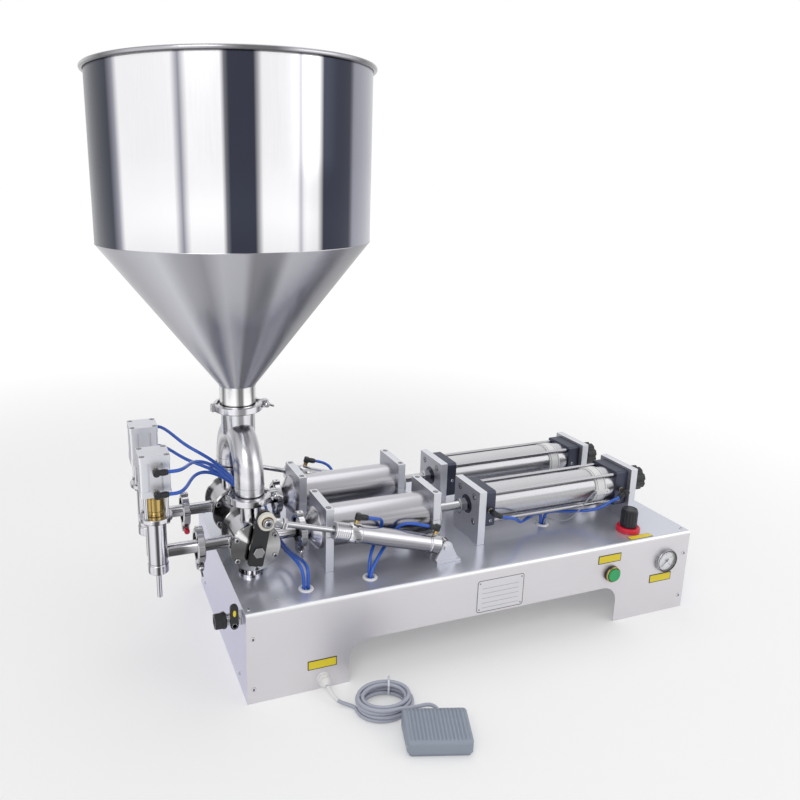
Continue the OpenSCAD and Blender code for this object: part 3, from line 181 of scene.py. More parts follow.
class Look(Nodes):
    """A material round one Principled shader. Coordinates are the part's own, in metres."""

    def __init__(self, name, colour, rough, metal=0.0, **sockets):
        self.material = bpy.data.materials.new(name)
        super().__init__(self.material)
        self.shader = self.tree.nodes["Principled BSDF"]
        self.wire(self.shader, "Metallic", metal)
        for key, value in sockets.items():
            self.wire(self.shader, key.replace("_", " "), value)
        self.colour, self.rough = (*colour, 1.0), rough
        coords = self.add("TexCoord").outputs
        self.point, self.facing = coords["Object"], coords["Normal"]

    def split(self, vector):
        return self.add("SeparateXYZ", {0: vector}).outputs

    def noise(self, scale, detail=3.0, stretch=(1, 1, 1)):
        placed = self.add("Mapping", {"Vector": self.point, "Scale": stretch}).outputs[0]
        inputs = {"Vector": placed, "Scale": scale, "Detail": detail, "Roughness": 0.55}
        return self.add("TexNoise", inputs).outputs["Fac"]

    def ramp(self, factor, stops):
        """A colour ramp; a stop is its place and its grey or colour."""
        made = self.add("ValToRGB", {"Fac": factor})
        steps = made.color_ramp.elements
        stops = sorted(stops, key=lambda stop: stop[0])
        steps[0].position, steps[1].position = stops[0][0], stops[-1][0]
        for position, _ in stops[1:-1]:
            steps.new(position)
        for step, (_, tone) in zip(steps, stops):
            step.color = (*tone, 1) if isinstance(tone, tuple) else (tone, tone, tone, 1)
        return made.outputs["Color"]

    def mix(self, a, b, factor=1.0, blend="MIX"):
        return self.add("Mix", {0: factor, 6: a, 7: b}, data_type="RGBA", blend_type=blend).outputs[2]

    def azimuth(self, x, y):
        """0 to 1 round an axis, 0.5 where x is positive and y is 0."""
        return self.math("MULTIPLY_ADD", self.math("ARCTAN2", y, x), 0.5 / math.pi, 0.5)

    def finish(self, colour, fine, tone, relief, spread=0.08, deep=0.0002, slow_tone=0.06):
        """Wires colour variation, roughness and bump from the fine noise and one slow noise."""
        slow = self.noise(9, 2.0)
        shade = self.math("MULTIPLY_ADD", fine, tone, 1.0 - tone / 2)
        shade = self.math("MULTIPLY_ADD", slow, slow_tone, self.math("SUBTRACT", shade, slow_tone / 2))
        grey = self.add("CombineColor", enumerate([shade] * 3)).outputs[0]
        self.wire(self.shader, "Base Color", self.mix(colour or self.colour, grey, 1.0, "MULTIPLY"))
        level = self.math("MULTIPLY_ADD", fine, spread, self.rough - spread / 2)
        level = self.math("MULTIPLY_ADD", slow, spread, self.math("SUBTRACT", level, spread / 2))
        self.wire(self.shader, "Roughness", level)
        if relief:
            bump = self.add("Bump", {"Height": fine, "Strength": relief, "Distance": deep})
            self.wire(self.shader, "Normal", bump.outputs[0])
        return self.material

    def painted_reflections(self, low):
        """Painted reflections of turned and drawn tube, as light and dark bands: along a lying tube by how
        far its side faces up, on a standing one by the way its side faces."""
        east, north, up = self.split(self.facing)
        lying = self.ramp(self.math("MULTIPLY_ADD", up, 0.5, 0.5), [
            (0.0, low), (0.25, low * 0.8), (0.46, low * 1.1), (0.53, 0.95), (0.68, 1.0), (0.72, low),
            (0.84, 0.5), (1.0, 0.68)])
        standing = self.ramp(self.azimuth(east, north), [
            (0.0, 0.5), (0.03, 0.9), (0.075, low), (0.115, 0.95), (0.19, 1.0), (0.225, low),
            (0.255, low), (0.275, 1.0), (0.335, 0.95), (0.365, low), (0.4, 0.6), (0.45, 0.8),
            (0.5, low), (0.56, 0.9), (0.67, 1.0), (0.7, low), (0.75, low), (0.78, 1.0), (0.87, 0.9),
            (0.9, low), (0.95, 0.7), (1.0, 0.5)])
        level = self.ramp(self.math("ABSOLUTE", up), [(0.3, 0.0), (0.75, 1.0)])
        bands = self.mix(standing, lying, self.add("RGBToBW", {0: level}).outputs[0])
        return self.mix(bands, self.colour, 1.0, "MULTIPLY")


def metal(name, colour, rough, grain, tone=0.1, relief=0.15, stretch=(1, 1, 1)):
    look = Look(name, colour, rough, 1.0)
    return look.finish(None, look.noise(grain, 4.0, stretch), tone, relief)


def plastic(name, colour, rough, grain, tone=0.1, relief=0.15, **more):
    look = Look(name, colour, rough, Specular_IOR_Level=0.45)
    return look.finish(None, look.noise(grain), tone, relief, **more)


# Metal with painted reflection bands in its colour.
def painted_reflection_metal(name, colour, rough, low, tone, relief, stretch=(1, 1, 1)):
    look = Look(name, colour, rough, 1.0)
    return look.finish(look.painted_reflections(low), look.noise(450, 4.0, stretch), tone, relief)


def cabinet_material():
    """Brushed sheet with light and shade painted by how far a face looks up: the deck is painted darker and
    is glossier than the upright panels, as it is in the photo, and faces tilted up at the bends carry a
    painted highlight.
    """
    look = Look("cabinet_sheet", (0.68, 0.66, 0.695), 0.38, 0.62)
    up = look.split(look.facing)[2]
    # Painted by how far a face looks up: mid on upright faces, a painted highlight on faces tilted up at the
    # bends, painted shade on the deck.
    shade = look.ramp(up, [(0.0, (0.74, 0.72, 0.75)), (0.35, (0.8, 0.79, 0.81)), (0.75, (0.96, 0.96, 0.97)),
                           (0.95, (0.68, 0.69, 0.75)), (1.0, (0.64, 0.655, 0.73))])
    material = look.finish(shade, look.noise(420, 4.0, (0.05, 1, 1)), 0.05, 0.08)
    rough = look.shader.inputs["Roughness"].links[0].from_socket
    deck = look.math("GREATER_THAN", up, 0.9)
    look.wire(look.shader, "Roughness", look.math("MULTIPLY_ADD", deck, -0.14, rough))
    return material


def plate_material():
    """Milled aluminium: side faces in shade, edges and tops light."""
    look = Look("satin_plate", (0.66, 0.67, 0.72), 0.42, 0.8)
    end = look.math("ABSOLUTE", look.split(look.facing)[0])
    shade = look.ramp(end, [(0.0, (0.68, 0.69, 0.74)), (0.25, (0.7, 0.71, 0.76)), (0.6, (0.92, 0.92, 0.94)),
                            (0.9, (0.9, 0.9, 0.92)), (1.0, (0.42, 0.425, 0.47))])
    return look.finish(shade, look.noise(650, 4.0, (1, 1, 0.04)), 0.08, 0.12)


def hopper_material():
    """Polished cylinder with the photo's upright light and dark bands painted in as reflections, over a
    brushed cone with painted reflection bands of its own, and painted tube reflections on the spout.
    """
    look = Look("hopper_sheet", (1, 1, 1), 0.24, 1.0)
    east, north, height = look.split(look.point)
    around = look.azimuth(east, north)
    # Tones of the painted reflection bands, from dark to pale.
    dark, steel, cool = (0.042, 0.046, 0.066), (0.27, 0.272, 0.325), (0.43, 0.43, 0.49)
    soft, pale = (0.74, 0.73, 0.74), (0.87, 0.865, 0.885)
    bands = [(-84, steel), (-72, dark), (-50, dark), (-46, steel), (-43, pale), (-19.6, pale),
             (-18.7, steel), (-17.2, steel), (-15.5, pale), (-3.4, pale), (-2, dark), (8, dark),
             (10.5, pale), (23, pale), (24.6, cool), (26.2, pale), (32, soft), (34, dark), (49, dark),
             (51.5, steel), (84, cool), (100, pale), (116, pale), (119, dark), (136, dark), (139, pale),
             (178, soft), (196, steel), (222, pale), (260, soft)]
    cone_reflection_bands = [(-79, 0.3), (-66, 0.42), (-50, 0.5), (-30, 0.74), (-22, 0.5), (-12, 0.38), (-5, 0.6),
                  (4, 0.55), (7, 0.3), (17, 0.33), (21, 0.58), (33, 0.55), (42, 0.36), (56, 0.3),
                  (66, 0.17), (79, 0.3), (110, 0.6), (150, 0.35), (190, 0.62), (230, 0.33), (262, 0.36)]
    cone_reflection_bands = [(a, (0.86 * v, 0.86 * v, 0.93 * v)) for a, v in cone_reflection_bands]
    to_camera = -103.25
    cylinder, cone = (look.ramp(around, [((a + to_camera + 180) % 360 / 360, tone) for a, tone in line])
                      for line in (bands, cone_reflection_bands))
    above = look.math("GREATER_THAN", height, CONE_TOP * MM)
    below = look.math("LESS_THAN", height, CONE_FOOT * MM)
    body = look.mix(look.mix(cone, cylinder, above), look.painted_reflections(0.2), below)
    return look.finish(body, look.noise(500, 4.0, (1, 1, 0.03)), 0.06, 0.06)


def turned_material():
    """A faced disc: painted highlight and shade in wedges round its axis, with fine rings."""
    look = Look("valve_cover", (1, 1, 1), 0.13, 1.0)
    east, _, height = look.split(look.point)
    up = look.math("SUBTRACT", height, AXIS * MM)
    # Painted highlights and shade in wedges round the disc's axis.
    painted_highlight_wedges = look.ramp(look.azimuth(east, up), [
        (0.0, 0.1), (0.12, 0.14), (0.2, 0.42), (0.25, 0.72), (0.31, 0.5), (0.36, 0.3), (0.42, 0.36),
        (0.5, 0.5), (0.58, 0.3), (0.68, 0.14), (0.8, 0.16), (0.845, 0.2), (0.865, 0.9), (0.89, 0.95),
        (0.91, 0.16), (1.0, 0.1)])
    square = look.math("ADD", look.math("MULTIPLY", up, up), look.math("MULTIPLY", east, east))
    rings = look.math("SINE", look.math("MULTIPLY", look.math("SQRT", square), 9000.0))
    fine = look.math("MULTIPLY_ADD", rings, 0.25, look.noise(300))
    return look.finish(painted_highlight_wedges, fine, 0.05, 0.05, spread=0.06)


def glass_material():
    look = Look("gauge_lens", (1, 1, 1), 0.03, Alpha=0.12, IOR=1.45)
    return look.finish(None, look.noise(600), 0.01, 0.0, spread=0.01, slow_tone=0.01)


LOOKS = {
    "sheet": cabinet_material(),
    "end": metal("end_panel", (0.68, 0.67, 0.8), 0.38, 420, 0.05, 0.08, (1, 0.05, 1)),
    "hopper": hopper_material(),
    "inner": metal("hopper_inside", (0.34, 0.34, 0.37), 0.3, 420, 0.08, stretch=(1, 1, 0.05)),
    # These tube metals, and brass below, carry painted reflection bands in their colour.
    "polish": painted_reflection_metal("polished_tube", (0.84, 0.83, 0.87), 0.15, 0.1, 0.04, 0.03),
    "bend": painted_reflection_metal("elbow_tube", (0.78, 0.78, 0.82), 0.22, 0.36, 0.05, 0.04),
    "rim": painted_reflection_metal("rolled_rim", (0.5, 0.5, 0.53), 0.2, 0.3, 0.05, 0.03),
    "ground": painted_reflection_metal("ground_tube", (0.8, 0.79, 0.84), 0.24, 0.4, 0.09, 0.08, (0.04, 1, 1)),
    "barrel": painted_reflection_metal("barrel_tube", (0.88, 0.88, 0.91), 0.28, 0.5, 0.07, 0.08, (0.04, 1, 1)),
    "chrome": painted_reflection_metal("bright_metal", (0.84, 0.84, 0.88), 0.13, 0.32, 0.05, 0.04),
    "nickel": painted_reflection_metal("satin_metal", (0.68, 0.68, 0.71), 0.26, 0.4, 0.14, 0.12),
    "plate": plate_material(),
    "turned": turned_material(),
    # Painted shade for bores, screw sockets, recesses and holes.
    "dark": metal("painted_bore_shade", (0.06, 0.06, 0.07), 0.5, 500),
    "brass": painted_reflection_metal("brass", (0.66, 0.47, 0.17), 0.2, 0.4, 0.14, 0.1, (1, 1, 0.1)),
    "slate": metal("anodised_cap", (0.075, 0.08, 0.11), 0.42, 1200, 0.14, 0.25),
    "black": plastic("black_plastic", (0.012, 0.013, 0.017), 0.32, 1500, 0.3, 0.3, deep=0.00005),
    "satin_black": plastic("black_lever", (0.014, 0.015, 0.017), 0.4, 900, 0.3, 0.3, deep=0.00006),
    "white": plastic("white_plastic", (0.8, 0.8, 0.8), 0.42, 1200, 0.05, deep=0.00005),
    "clear": plastic("clear_tie", (0.75, 0.78, 0.84), 0.2, 800, 0.08),
    "cream": plastic("cream_ring", (0.84, 0.81, 0.72), 0.35, 900),
    "seal": plastic("piston_seal", (0.72, 0.72, 0.7), 0.4, 900, 0.08),
    "dial": plastic("gauge_dial", (0.93, 0.95, 0.99), 0.5, 700, 0.03, 0.0),
    "green": plastic("green_button", (0.025, 0.4, 0.13), 0.26, 900, 0.12, 0.08),
    "red": plastic("red_plastic", (0.68, 0.015, 0.045), 0.3, 900, 0.12, 0.1),
    "yellow": plastic("yellow_label", (0.82, 0.66, 0.03), 0.38, 1100, 0.06, 0.1),
    "ink": plastic("label_ink", (0.02, 0.02, 0.02), 0.4, 1100, 0.2, 0.05),
    "pale": metal("rating_plate", (0.72, 0.71, 0.74), 0.34, 700, 0.05, stretch=(0.05, 1, 1)),
    "blue": plastic("blue_hose", (0.03, 0.12, 0.56), 0.2, 300, 0.16, 0.08, slow_tone=0.25),
    "cord": plastic("grey_cord", (0.43, 0.45, 0.53), 0.46, 1600, 0.1, 0.25, deep=0.00006),
    "pedal": plastic("pedal_plastic", (0.3, 0.34, 0.41), 0.5, 2200, 0.16, 0.6, deep=0.00012),
    "cable": plastic("sensor_cable", (0.3, 0.3, 0.33), 0.4, 1500, 0.15),
    "lens": glass_material(),
}

# Building pieces


class Piece:
    """One mesh piece put together from shapes given in millimetres."""

    def __init__(self, name, *replaced, body="machine", slot=None, bevel=0.0, angle=32, side=None):
        self.name, self.replaced, self.body, self.slot = name, replaced, body, slot
        self.bevel, self.angle, self.side = bevel, angle, side or Matrix()
        self.mesh = bmesh.new()
        self.looks = []

    def put(self, points, faces, look, at=None):
        at = self.side @ (at or Matrix())
        if look not in self.looks:
            self.looks.append(look)
        made = [self.mesh.verts.new(at @ Vector(p)) for p in points]
        for f in faces:
            face = self.mesh.faces.new([made[i] for i in f])
            face.material_index = self.looks.index(look)
            face.smooth = True
        return self

    def weave(self, rows, look, at=None, around=True, loop=False):
        """Faces between neighbouring rows of points. A row closes on itself if around, the last row joins
        the first if loop, and flat ends close what is left open."""
        m, n = len(rows), len(rows[0])
        faces = []
        for i, k in product(range(m if loop else m - 1), range(n if around else n - 1)):
            a, b, j = i * n, (i + 1) % m * n, (k + 1) % n
            faces.append((a + k, a + j, b + j, b + k))
        if not loop:
            faces += [range(n)[::-1], range((m - 1) * n, m * n)]
        elif not around:
            faces += [range(0, m * n, n), range(n - 1, m * n, n)[::-1]]
        return self.put([p for row in rows for p in row], faces, look, at)

    def lathe(self, profile, look, at=None, n=48, closed=False, start=0.0, end=360.0):
        """Turns (radius, height) points round Z. An open profile is a solid with flat ends, a closed one
        a ring; less than a full turn is an arc with flat ends."""
        full = end - start >= 360
        rows = [[(r * c, r * s, h) for r, h in profile] for c, s in arc(1, start, end, n)]
        return self.weave(rows[:-1] if full else rows, look, at, closed, full)

    def rod(self, r, h0, h1, look, at=None, n=24):
        return self.lathe([(r, h0), (r, h1)], look, at, n)

    def ring(self, outer, inner, h0, h1, look, at=None, n=48):
        return self.lathe([(inner, h0), (outer, h0), (outer, h1), (inner, h1)], look, at, n, True)

    def torus(self, radius, r, look, at=None, n=48, m=10, h=0.0):
        return self.lathe([(radius + x, h + y) for x, y in circle(r, m)], look, at, n, True)

    def prism(self, outline, h0, h1, look, at=None):
        return self.weave([[(x, y, h) for x, y in outline] for h in (h0, h1)], look, at)

    def frame(self, outer, inner, h0, h1, look, at=None):
        edges = ((outer, h0), (inner, h0), (inner, h1), (outer, h1))
        return self.weave([[(x, y, h) for x, y in line] for line, h in edges], look, at, loop=True)

    def box(self, low, high, look, at=None):
        (a, b, c), (d, e, f) = low, high
        return self.prism([(a, b), (d, b), (d, e), (a, e)], c, f, look, at)

    def tube(self, path, radii, look, n=12):
        """A round tube along a path of vectors, with a radius for each point."""
        rows, side = [], None
        for i, (p, r) in enumerate(zip(path, radii)):
            t = (path[min(i + 1, len(path) - 1)] - path[max(i - 1, 0)]).normalized()
            side = side or t.cross(Vector((0, 0, 1)) if abs(t.z) < 0.9 else Vector((1, 0, 0)))
            side = (side - t * side.dot(t)).normalized()
            other = t.cross(side)
            rows.append([p + r * (c * side + s * other) for c, s in circle(1, n)])
        return self.weave(rows, look)

    def hexagon(self, r, h0, h1, look, at=None):
        """A nut: six sides with its corners turned off at both ends."""
        low, edge = 0.93 * r, 0.1 * r
        return self.lathe([(low, h0), (r, h0 + edge), (r, h1 - edge), (low, h1)], look, at, 6)

    def socket_screw(self, r, h, look, at):
        """A cap screw head of radius r that stands h high, with a hexagon socket."""
        n, edge = 24, 0.12 * r
        levels = ((r, n, 0), (r, n, h - edge), (r - edge, n, h), (0.52 * r, 6, h), (0.52 * r, 6, 0.3 * h))
        points = [(x, y, z) for radius, count, z in levels for x, y in circle(radius, count)]
        faces = [range(n)[::-1]]
        for k in range(n):
            j = (k + 1) % n
            faces += [(k, j, n + j, n + k), (n + k, n + j, 2 * n + j, 2 * n + k)]
        for k in range(6):
            a, b = 3 * n + k, 3 * n + (k + 1) % 6
            faces += [[a] + [2 * n + (4 * k + i) % n for i in range(5)] + [b], (a, b, b + 6, a + 6)]
        self.put(points, faces, look, at)
        # Painted shade at the floor of the socket.
        return self.prism(circle(0.5 * r, 6), h * 0.2, h * 0.31, "dark", at)

    def sunk_screw(self, r, h, at, rim, foot=-0.5, n=24):
        """A cap screw in a counterbore: the shade in the bore is painted as a dark ring."""
        self.ring(rim, r, foot, 0.15, "dark", at, n)
        return self.socket_screw(r, h, "nickel", at)

    def pan_screw(self, r, at, turn):
        """A domed head with a cross recess, drawn as dark boxes of painted shade."""
        edge, dome = 0.15 * r, 0.4 * r
        domed = [(r * math.cos(a), edge + dome * math.sin(a)) for a in (0.3, 0.6, 0.9, 1.2, 1.45)]
        self.lathe([(r, 0), (r, edge)] + domed, "chrome", at, 24)
        for w, t in ((0.55 * r, 0.13 * r), (0.13 * r, 0.55 * r)):
            self.box((-w, -t, 0.165 * r), (w, t, edge + dome + 0.02), "dark", at @ spin(turn))

    def threads(self, r, h0, h1, step, look, at, n=32):
        """Rounded thread ridges from h0 to h1."""
        count = max(1, int((h1 - h0) / step))
        step = (h1 - h0) / count
        root = r - 0.35 * step
        profile = [(root, h0)]
        for k in range(count):
            profile += [(r, h0 + (k + 0.35) * step), (r, h0 + (k + 0.6) * step), (root, h0 + (k + 1) * step)]
        return self.lathe(profile, look, at, n)

    def done(self):
        bmesh.ops.recalc_face_normals(self.mesh, faces=self.mesh.faces)
        bmesh.ops.transform(self.mesh, matrix=Matrix.Scale(MM, 4), verts=self.mesh.verts)
        obj = solid(self.name, self.mesh, self.looks, self.angle)
        return attach(obj, self.body, self.replaced, self.bevel)


def solid(name, mesh, looks, angle=32):
    """An object made from a bmesh, smooth up to an angle between its faces."""
    data = bpy.data.meshes.new(name)
    mesh.to_mesh(data)
    mesh.free()
    data.set_sharp_from_angle(angle=math.radians(angle))
    for look in looks:
        data.materials.append(LOOKS[look])
    return bpy.data.objects.new(name, data)


def attach(obj, body, replaced=(), bevel=0.0):
    scene.collection.objects.link(obj)
    if bevel:
        edge = obj.modifiers.new("edges", "BEVEL")
        edge.width, edge.segments, edge.limit_method = bevel * MM, 2, "ANGLE"
        edge.angle_limit = math.radians(38)
        edge.harden_normals = True
    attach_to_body(obj, body)
    if replaced:
        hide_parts(*replaced)
    return obj


def dressed(node, name, look, bevel):
    """A copy of a CAD node with its flat faces joined and its edges rounded, in place of the node."""
    source = nodes[node]
    mesh = bmesh.new()
    mesh.from_mesh(source.data)
    bmesh.ops.remove_doubles(mesh, verts=mesh.verts, dist=1e-6)
    bmesh.ops.dissolve_limit(mesh, angle_limit=math.radians(0.5), verts=mesh.verts, edges=mesh.edges)
    bmesh.ops.recalc_face_normals(mesh, faces=mesh.faces)
    for face in mesh.faces:
        face.smooth = True
        face.material_index = 0
    return attach(solid(name, mesh, [look]), source["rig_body"], (node,), bevel)


def smooth(points, steps):
    """The curve of part.scad's hoses: it starts and ends on the outer points and runs near the others."""
    p = [Vector(q) for q in points]
    p = [2 * p[0] - p[1]] + p + [2 * p[-1] - p[-2]]
    made = []
    for i, k in product(range(len(points) - 1), range(steps)):
        s = k / steps
        made.append((p[i] * (1 - s) ** 3 + p[i + 1] * (3 * s ** 3 - 6 * s * s + 4)
                     + p[i + 2] * (3 * s * s - 3 * s ** 3 + 3 * s + 1) + p[i + 3] * s ** 3) / 6)
    return made + [Vector(points[-1])]


def soft_line(name, path, r, look, replaced, slot, **facts):
    """A cord or hose as one curve."""
    data = bpy.data.curves.new(name, "CURVE")
    data.dimensions, data.bevel_depth, data.bevel_resolution = "3D", r * MM, 5
    line = data.splines.new("POLY")
    line.points.add(len(path) - 1)
    for point, p in zip(line.points, path):
        point.co = (*(p * MM), 1)
    line.use_smooth = True
    data.use_fill_caps = True
    data.materials.append(LOOKS[look])
    obj = attach(bpy.data.objects.new(name, data), "machine", replaced)


# Pedal

HALF_W, HALF_D, CORNER, SOFT = 50.0, 34.0, 8.0, 3.2
FRONT_Z, BACK_Z, RIDGE_Z, RIDGE_Y = 24.0, 31.0, 40.0, 20.4
CORD_X = 15.0


def pedal_top(x, y):
    """Height of the tread over a point of the pedal: two slopes to a soft ridge, ribs along them."""
    front = FRONT_Z + (y + HALF_D) * (RIDGE_Z - FRONT_Z) / (HALF_D + RIDGE_Y)
    back = RIDGE_Z - (y - RIDGE_Y) * (RIDGE_Z - BACK_Z) / (HALF_D - RIDGE_Y)
    low, high = sorted((front, back))
    groove = 0.5 - 0.5 * math.cos(math.tau * x / 5.9)
    inside = share((46 - abs(x)) / 3) * share((y + 29) / 4) * share((32 - y) / 3)
    return low - 1.1 * math.exp((low - high) / 2.2) - 2.0 * inside * groove ** 2.2


def pedal_skin():
    """The tread as a grid of points drawn in at its rounded corners, and the skirt under its rim."""
    nx, ny = 200, 56
    points = []
    for i, j in product(range(nx + 1), range(ny + 1)):
        x, y = 2 * HALF_W * i / nx - HALF_W, 2 * HALF_D * j / ny - HALF_D
        dx, dy = abs(x) - HALF_W + CORNER, abs(y) - HALF_D + CORNER
        far = max(dx, dy)
        if dx > 0 and dy > 0:
            x = math.copysign(HALF_W - CORNER + dx * far / math.hypot(dx, dy), x)
            y = math.copysign(HALF_D - CORNER + dy * far / math.hypot(dx, dy), y)
        rest = SOFT * share(1 - (CORNER - far) / SOFT)
        points.append((x, y, pedal_top(x, y) - SOFT + math.sqrt(SOFT ** 2 - rest ** 2)))

    def at(i, j):
        return i * (ny + 1) + j

    faces = [(at(i, j), at(i + 1, j), at(i + 1, j + 1), at(i, j + 1))
             for i, j in product(range(nx), range(ny))]
    row = [at(i, 0) for i in range(nx)] + [at(nx, j) for j in range(ny)]
    row += [at(i, ny) for i in range(nx, 0, -1)] + [at(0, j) for j in range(ny, 0, -1)]
    rim, n = [points[k] for k in row], len(row)
    for inset, inner in ((0, False), (2.5, False), (2.5, True)):
        below = range(len(points), len(points) + n)
        for x, y, z in rim:
            foot = 19 if y > 28 and abs(x - CORD_X) < 6.5 else 6 if y < 30 else 10
            reach = 1 - inset / max(abs(x), abs(y), 20)
            points.append((x * reach, y * reach, z - 6 if inner else foot))
        faces += [(row[k], row[(k + 1) % n], below[(k + 1) % n], below[k]) for k in range(n)]
        row = below
    return points, faces


pedal_floor = dressed("pedal_base", "pedal_floor_plate", "pedal", 0.6)
tread = Piece("pedal_tread_ribbed", "pedal_cover", body="pedal_tread", slot="pedal_blue", angle=50)
tread.put(*pedal_skin(), "pedal", PEDAL)
for x, way in ((-49.8, "-X"), (49.8, "X")):
    tread.lathe([(2.6, 0), (2.6, 0.2), (1.9, 0.5), (0.8, 0.6)], "chrome", PEDAL @ place(x, -24, 11, way), 20)
pedal_tread = tread.done()

# Pedal cord: lead, coil and tail are one cord

CORD_R, CORD_EXIT_X, CORD_EXIT_Z = 3.0, 89, 19
COIL_X, COIL_Y, COIL_A, COIL_B, COIL_STEP, COIL_RISE, COIL_LOW = 168, -276, 47, 36, 7.6, 6.6, 3.3
TURNS, LAYERS, CLIMB, LOOP_POINTS = 7.25, 4, 0.5, 48
LAYER_TURNS = (TURNS - (LAYERS - 1) * CLIMB) / LAYERS


def coil_point(t):
    """A point t turns along the coil: each layer winds in or out and then climbs to the next."""
    layer = min(int(t / (LAYER_TURNS + CLIMB)), LAYERS - 1)
    s = t - layer * (LAYER_TURNS + CLIMB)
    run = min(s, LAYER_TURNS)
    inward = COIL_STEP * (LAYER_TURNS - run if layer % 2 else run)
    rise = layer + (1 - math.cos(math.pi * share((s - LAYER_TURNS) / CLIMB))) / 2
    x, y = polar(1, 180 + 360 * t)
    return Vector((COIL_X + (COIL_A - inward) * x, COIL_Y + (COIL_B - inward) * y,
                   COIL_LOW + COIL_RISE * rise))


loops = [coil_point(i / LOOP_POINTS) for i in range(int(TURNS * LOOP_POINTS) + 1)]
entry = loops[0] + Vector((0, 6, 0))
leave = loops[-1] + Vector((6, 0, 0))
lead = smooth([(CORD_EXIT_X, -222, CORD_EXIT_Z), (CORD_EXIT_X, -228, CORD_EXIT_Z), (91, -238, 14),
               (99, -249, 7), (111, -254, 3.8), entry + Vector((0, 6, 0)), entry], 6)
tail = smooth([leave, (188, -313, 22.5), (206, -313, 19), (226, -306, 13.5), (240, -306, 9.5),
               (244.5, -315, 7.5), PEDAL @ Vector((CORD_X, 46.7, 7)), PEDAL @ Vector((CORD_X, 40.7, 7))], 6)
soft_line("pedal_cord", lead + loops + tail, CORD_R, "cord", ("cord_lead", "cord_coil", "cord_tail"),
          "cord_grey", far_end="tool", stiffness="medium", lay="coiled",
          with_pieces=[pedal_floor, pedal_tread])

# Fittings: ARM is the outlet's height over the foot, REACH is how far its mouth stands out

ARM, REACH = 15.0, 18.0
HEAD_HALF, HEAD_PORTS = 25.0, (388, 350)
CAP_HALF, CAP_DROP, CAP_PORTS = 36.0, -2.0, ((457.3, -30), (760.6, 210))
LINK_PORTS, LINK_FOOT = (187, 26), 15.6


def fitting(piece, at):
    """Elbow push-in fitting: nickel stem on Z, black body, outlet along +X."""
    piece.hexagon(5.6, 0, 3.4, "nickel", at)
    piece.rod(4.4, 3.2, 9.4, "brass", at)
    piece.lathe([(5, 9), (5.9, 9.8), (5.9, 19.2), (5.2, 20.6), (3.4, 21), (3, 20.5), (0.5, 20.5)], "black",
                at, 28)
    piece.lathe([(4.9, 0), (4.9, 7.5), (5.3, 8), (5.3, 14.6), (4.9, 15.2), (4.4, 15.4), (4.4, 16.2),
                 (4.8, 16.6), (4.8, 17.9), (3.1, 18)], "black", at @ shift(0, 0, ARM) @ spin(90, "Y"), 28)


fittings = Piece("push_in_fittings", "air_fittings", slot="fitting_black", bevel=0.25)
for side in SIDES.values():
    for x, turn in CAP_PORTS:
        fitting(fittings, on_row(side, x, -CAP_HALF, CAP_DROP, "-Y", turn))
    for z in HEAD_PORTS:
        fitting(fittings, side @ place(NOZZLE_X, ROW - HEAD_HALF, z, "-Y"))
fittings.done()

# Air hoses: out of a fitting's mouth, along the row and down through a grommet

HOSE_R, STRAIGHT = 3.0, 6.0
LEVER_HOLE, NOZZLE_HOLE, BARREL_HOLE = (191, -84), (74, -83), (600, -8)


def mouth(x, y, z, turn=0):
    """The straight start of a hose that leaves a fitting at turn degrees from +X towards +Z."""
    return [(a, y, b) for a, b in (polar(reach, turn, x, z) for reach in (REACH, REACH + STRAIGHT))]


def routed(route):
    return [(x, ROW + y, DECK + z) for x, y, z in route]


def hole_end(hole, dx, dy):
    """The end of a hose, straight down through a grommet."""
    return routed([(hole[0] + dx, hole[1] + dy, z) for z in (12, 0, -SHEET - 18)])


head_mouths = [mouth(NOZZLE_X, ROW - HEAD_HALF - ARM, z) for z in HEAD_PORTS]
cap_mouths = [mouth(x, ROW - CAP_HALF - ARM, AXIS + CAP_DROP, turn) for x, turn in CAP_PORTS]
hose_routes = {
    "head_upper": head_mouths[0] + routed([
        (-122, -40, 223), (-106, -8, 216), (-88, 36, 206), (-58, 56, 192), (-24, 58, 162), (10, 52, 116),
        (38, 52, 76), (59, 38, 36), (61, 0, 32), (61, -40, 42), (68, -82, 42)])
    + hole_end(NOZZLE_HOLE, -3.6, 0),
    "head_lower": head_mouths[1] + routed([
        (-122, -40, 185), (-106, -8, 182), (-88, 40, 180), (-58, 64, 174), (-16, 69, 146), (20, 66, 98),
        (48, 64, 58), (68, 38, 26), (74, 0, 22), (80, -44, 32), (79, -82, 38)])
    + hole_end(NOZZLE_HOLE, 3.6, 0),
    "barrel_front": cap_mouths[0] + routed([
        (506, -51, 48), (524, -38, 28), (548, -18, 20), (576, -8, 24), (594, -8, 26)])
    + hole_end(BARREL_HOLE, -3.6, 0),
    "barrel_rear": cap_mouths[1] + routed([
        (728, -51, 50), (706, -42, 30), (676, -20, 21), (638, -8, 22), (607, -8, 26)])
    + hole_end(BARREL_HOLE, 3.6, 0),
}
cable_route = routed([(700, -37, 66), (693, -37, 65), (680, -40, 57), (664, -42, 40), (650, -38, 22),
                      (640, -30, 11), (630, -22, 8), (616, -16, 12), (606, -13.4, 16), (600.5, -13.2, 12),
                      (600, -13.2, 0), (600, -13.2, -18)])
for end, side in SIDES.items():
    for name, route in hose_routes.items():
        soft_line(f"{end}_{name}_hose", [side @ p for p in smooth(route, 6)], HOSE_R, "blue", ("air_hoses",),
                  "hose_blue", far_end="object", stiffness="medium", lay="taut")
    soft_line(f"{end}_sensor_cable", [side @ p for p in smooth(cable_route, 6)], 1.2, "cable", (),
              "cord_grey", far_end="object", stiffness="medium", lay="loose")


def on_actuator(at, over=0):
    """A place on the actuator: its Z runs from the clevis pin to the rod end, its X up from the barrel."""
    tilt = math.degrees(math.atan2(-WAY.z, WAY.x))
    return shift(*CLEVIS) @ spin(tilt - 90, "Y") @ shift(over, 0, at)
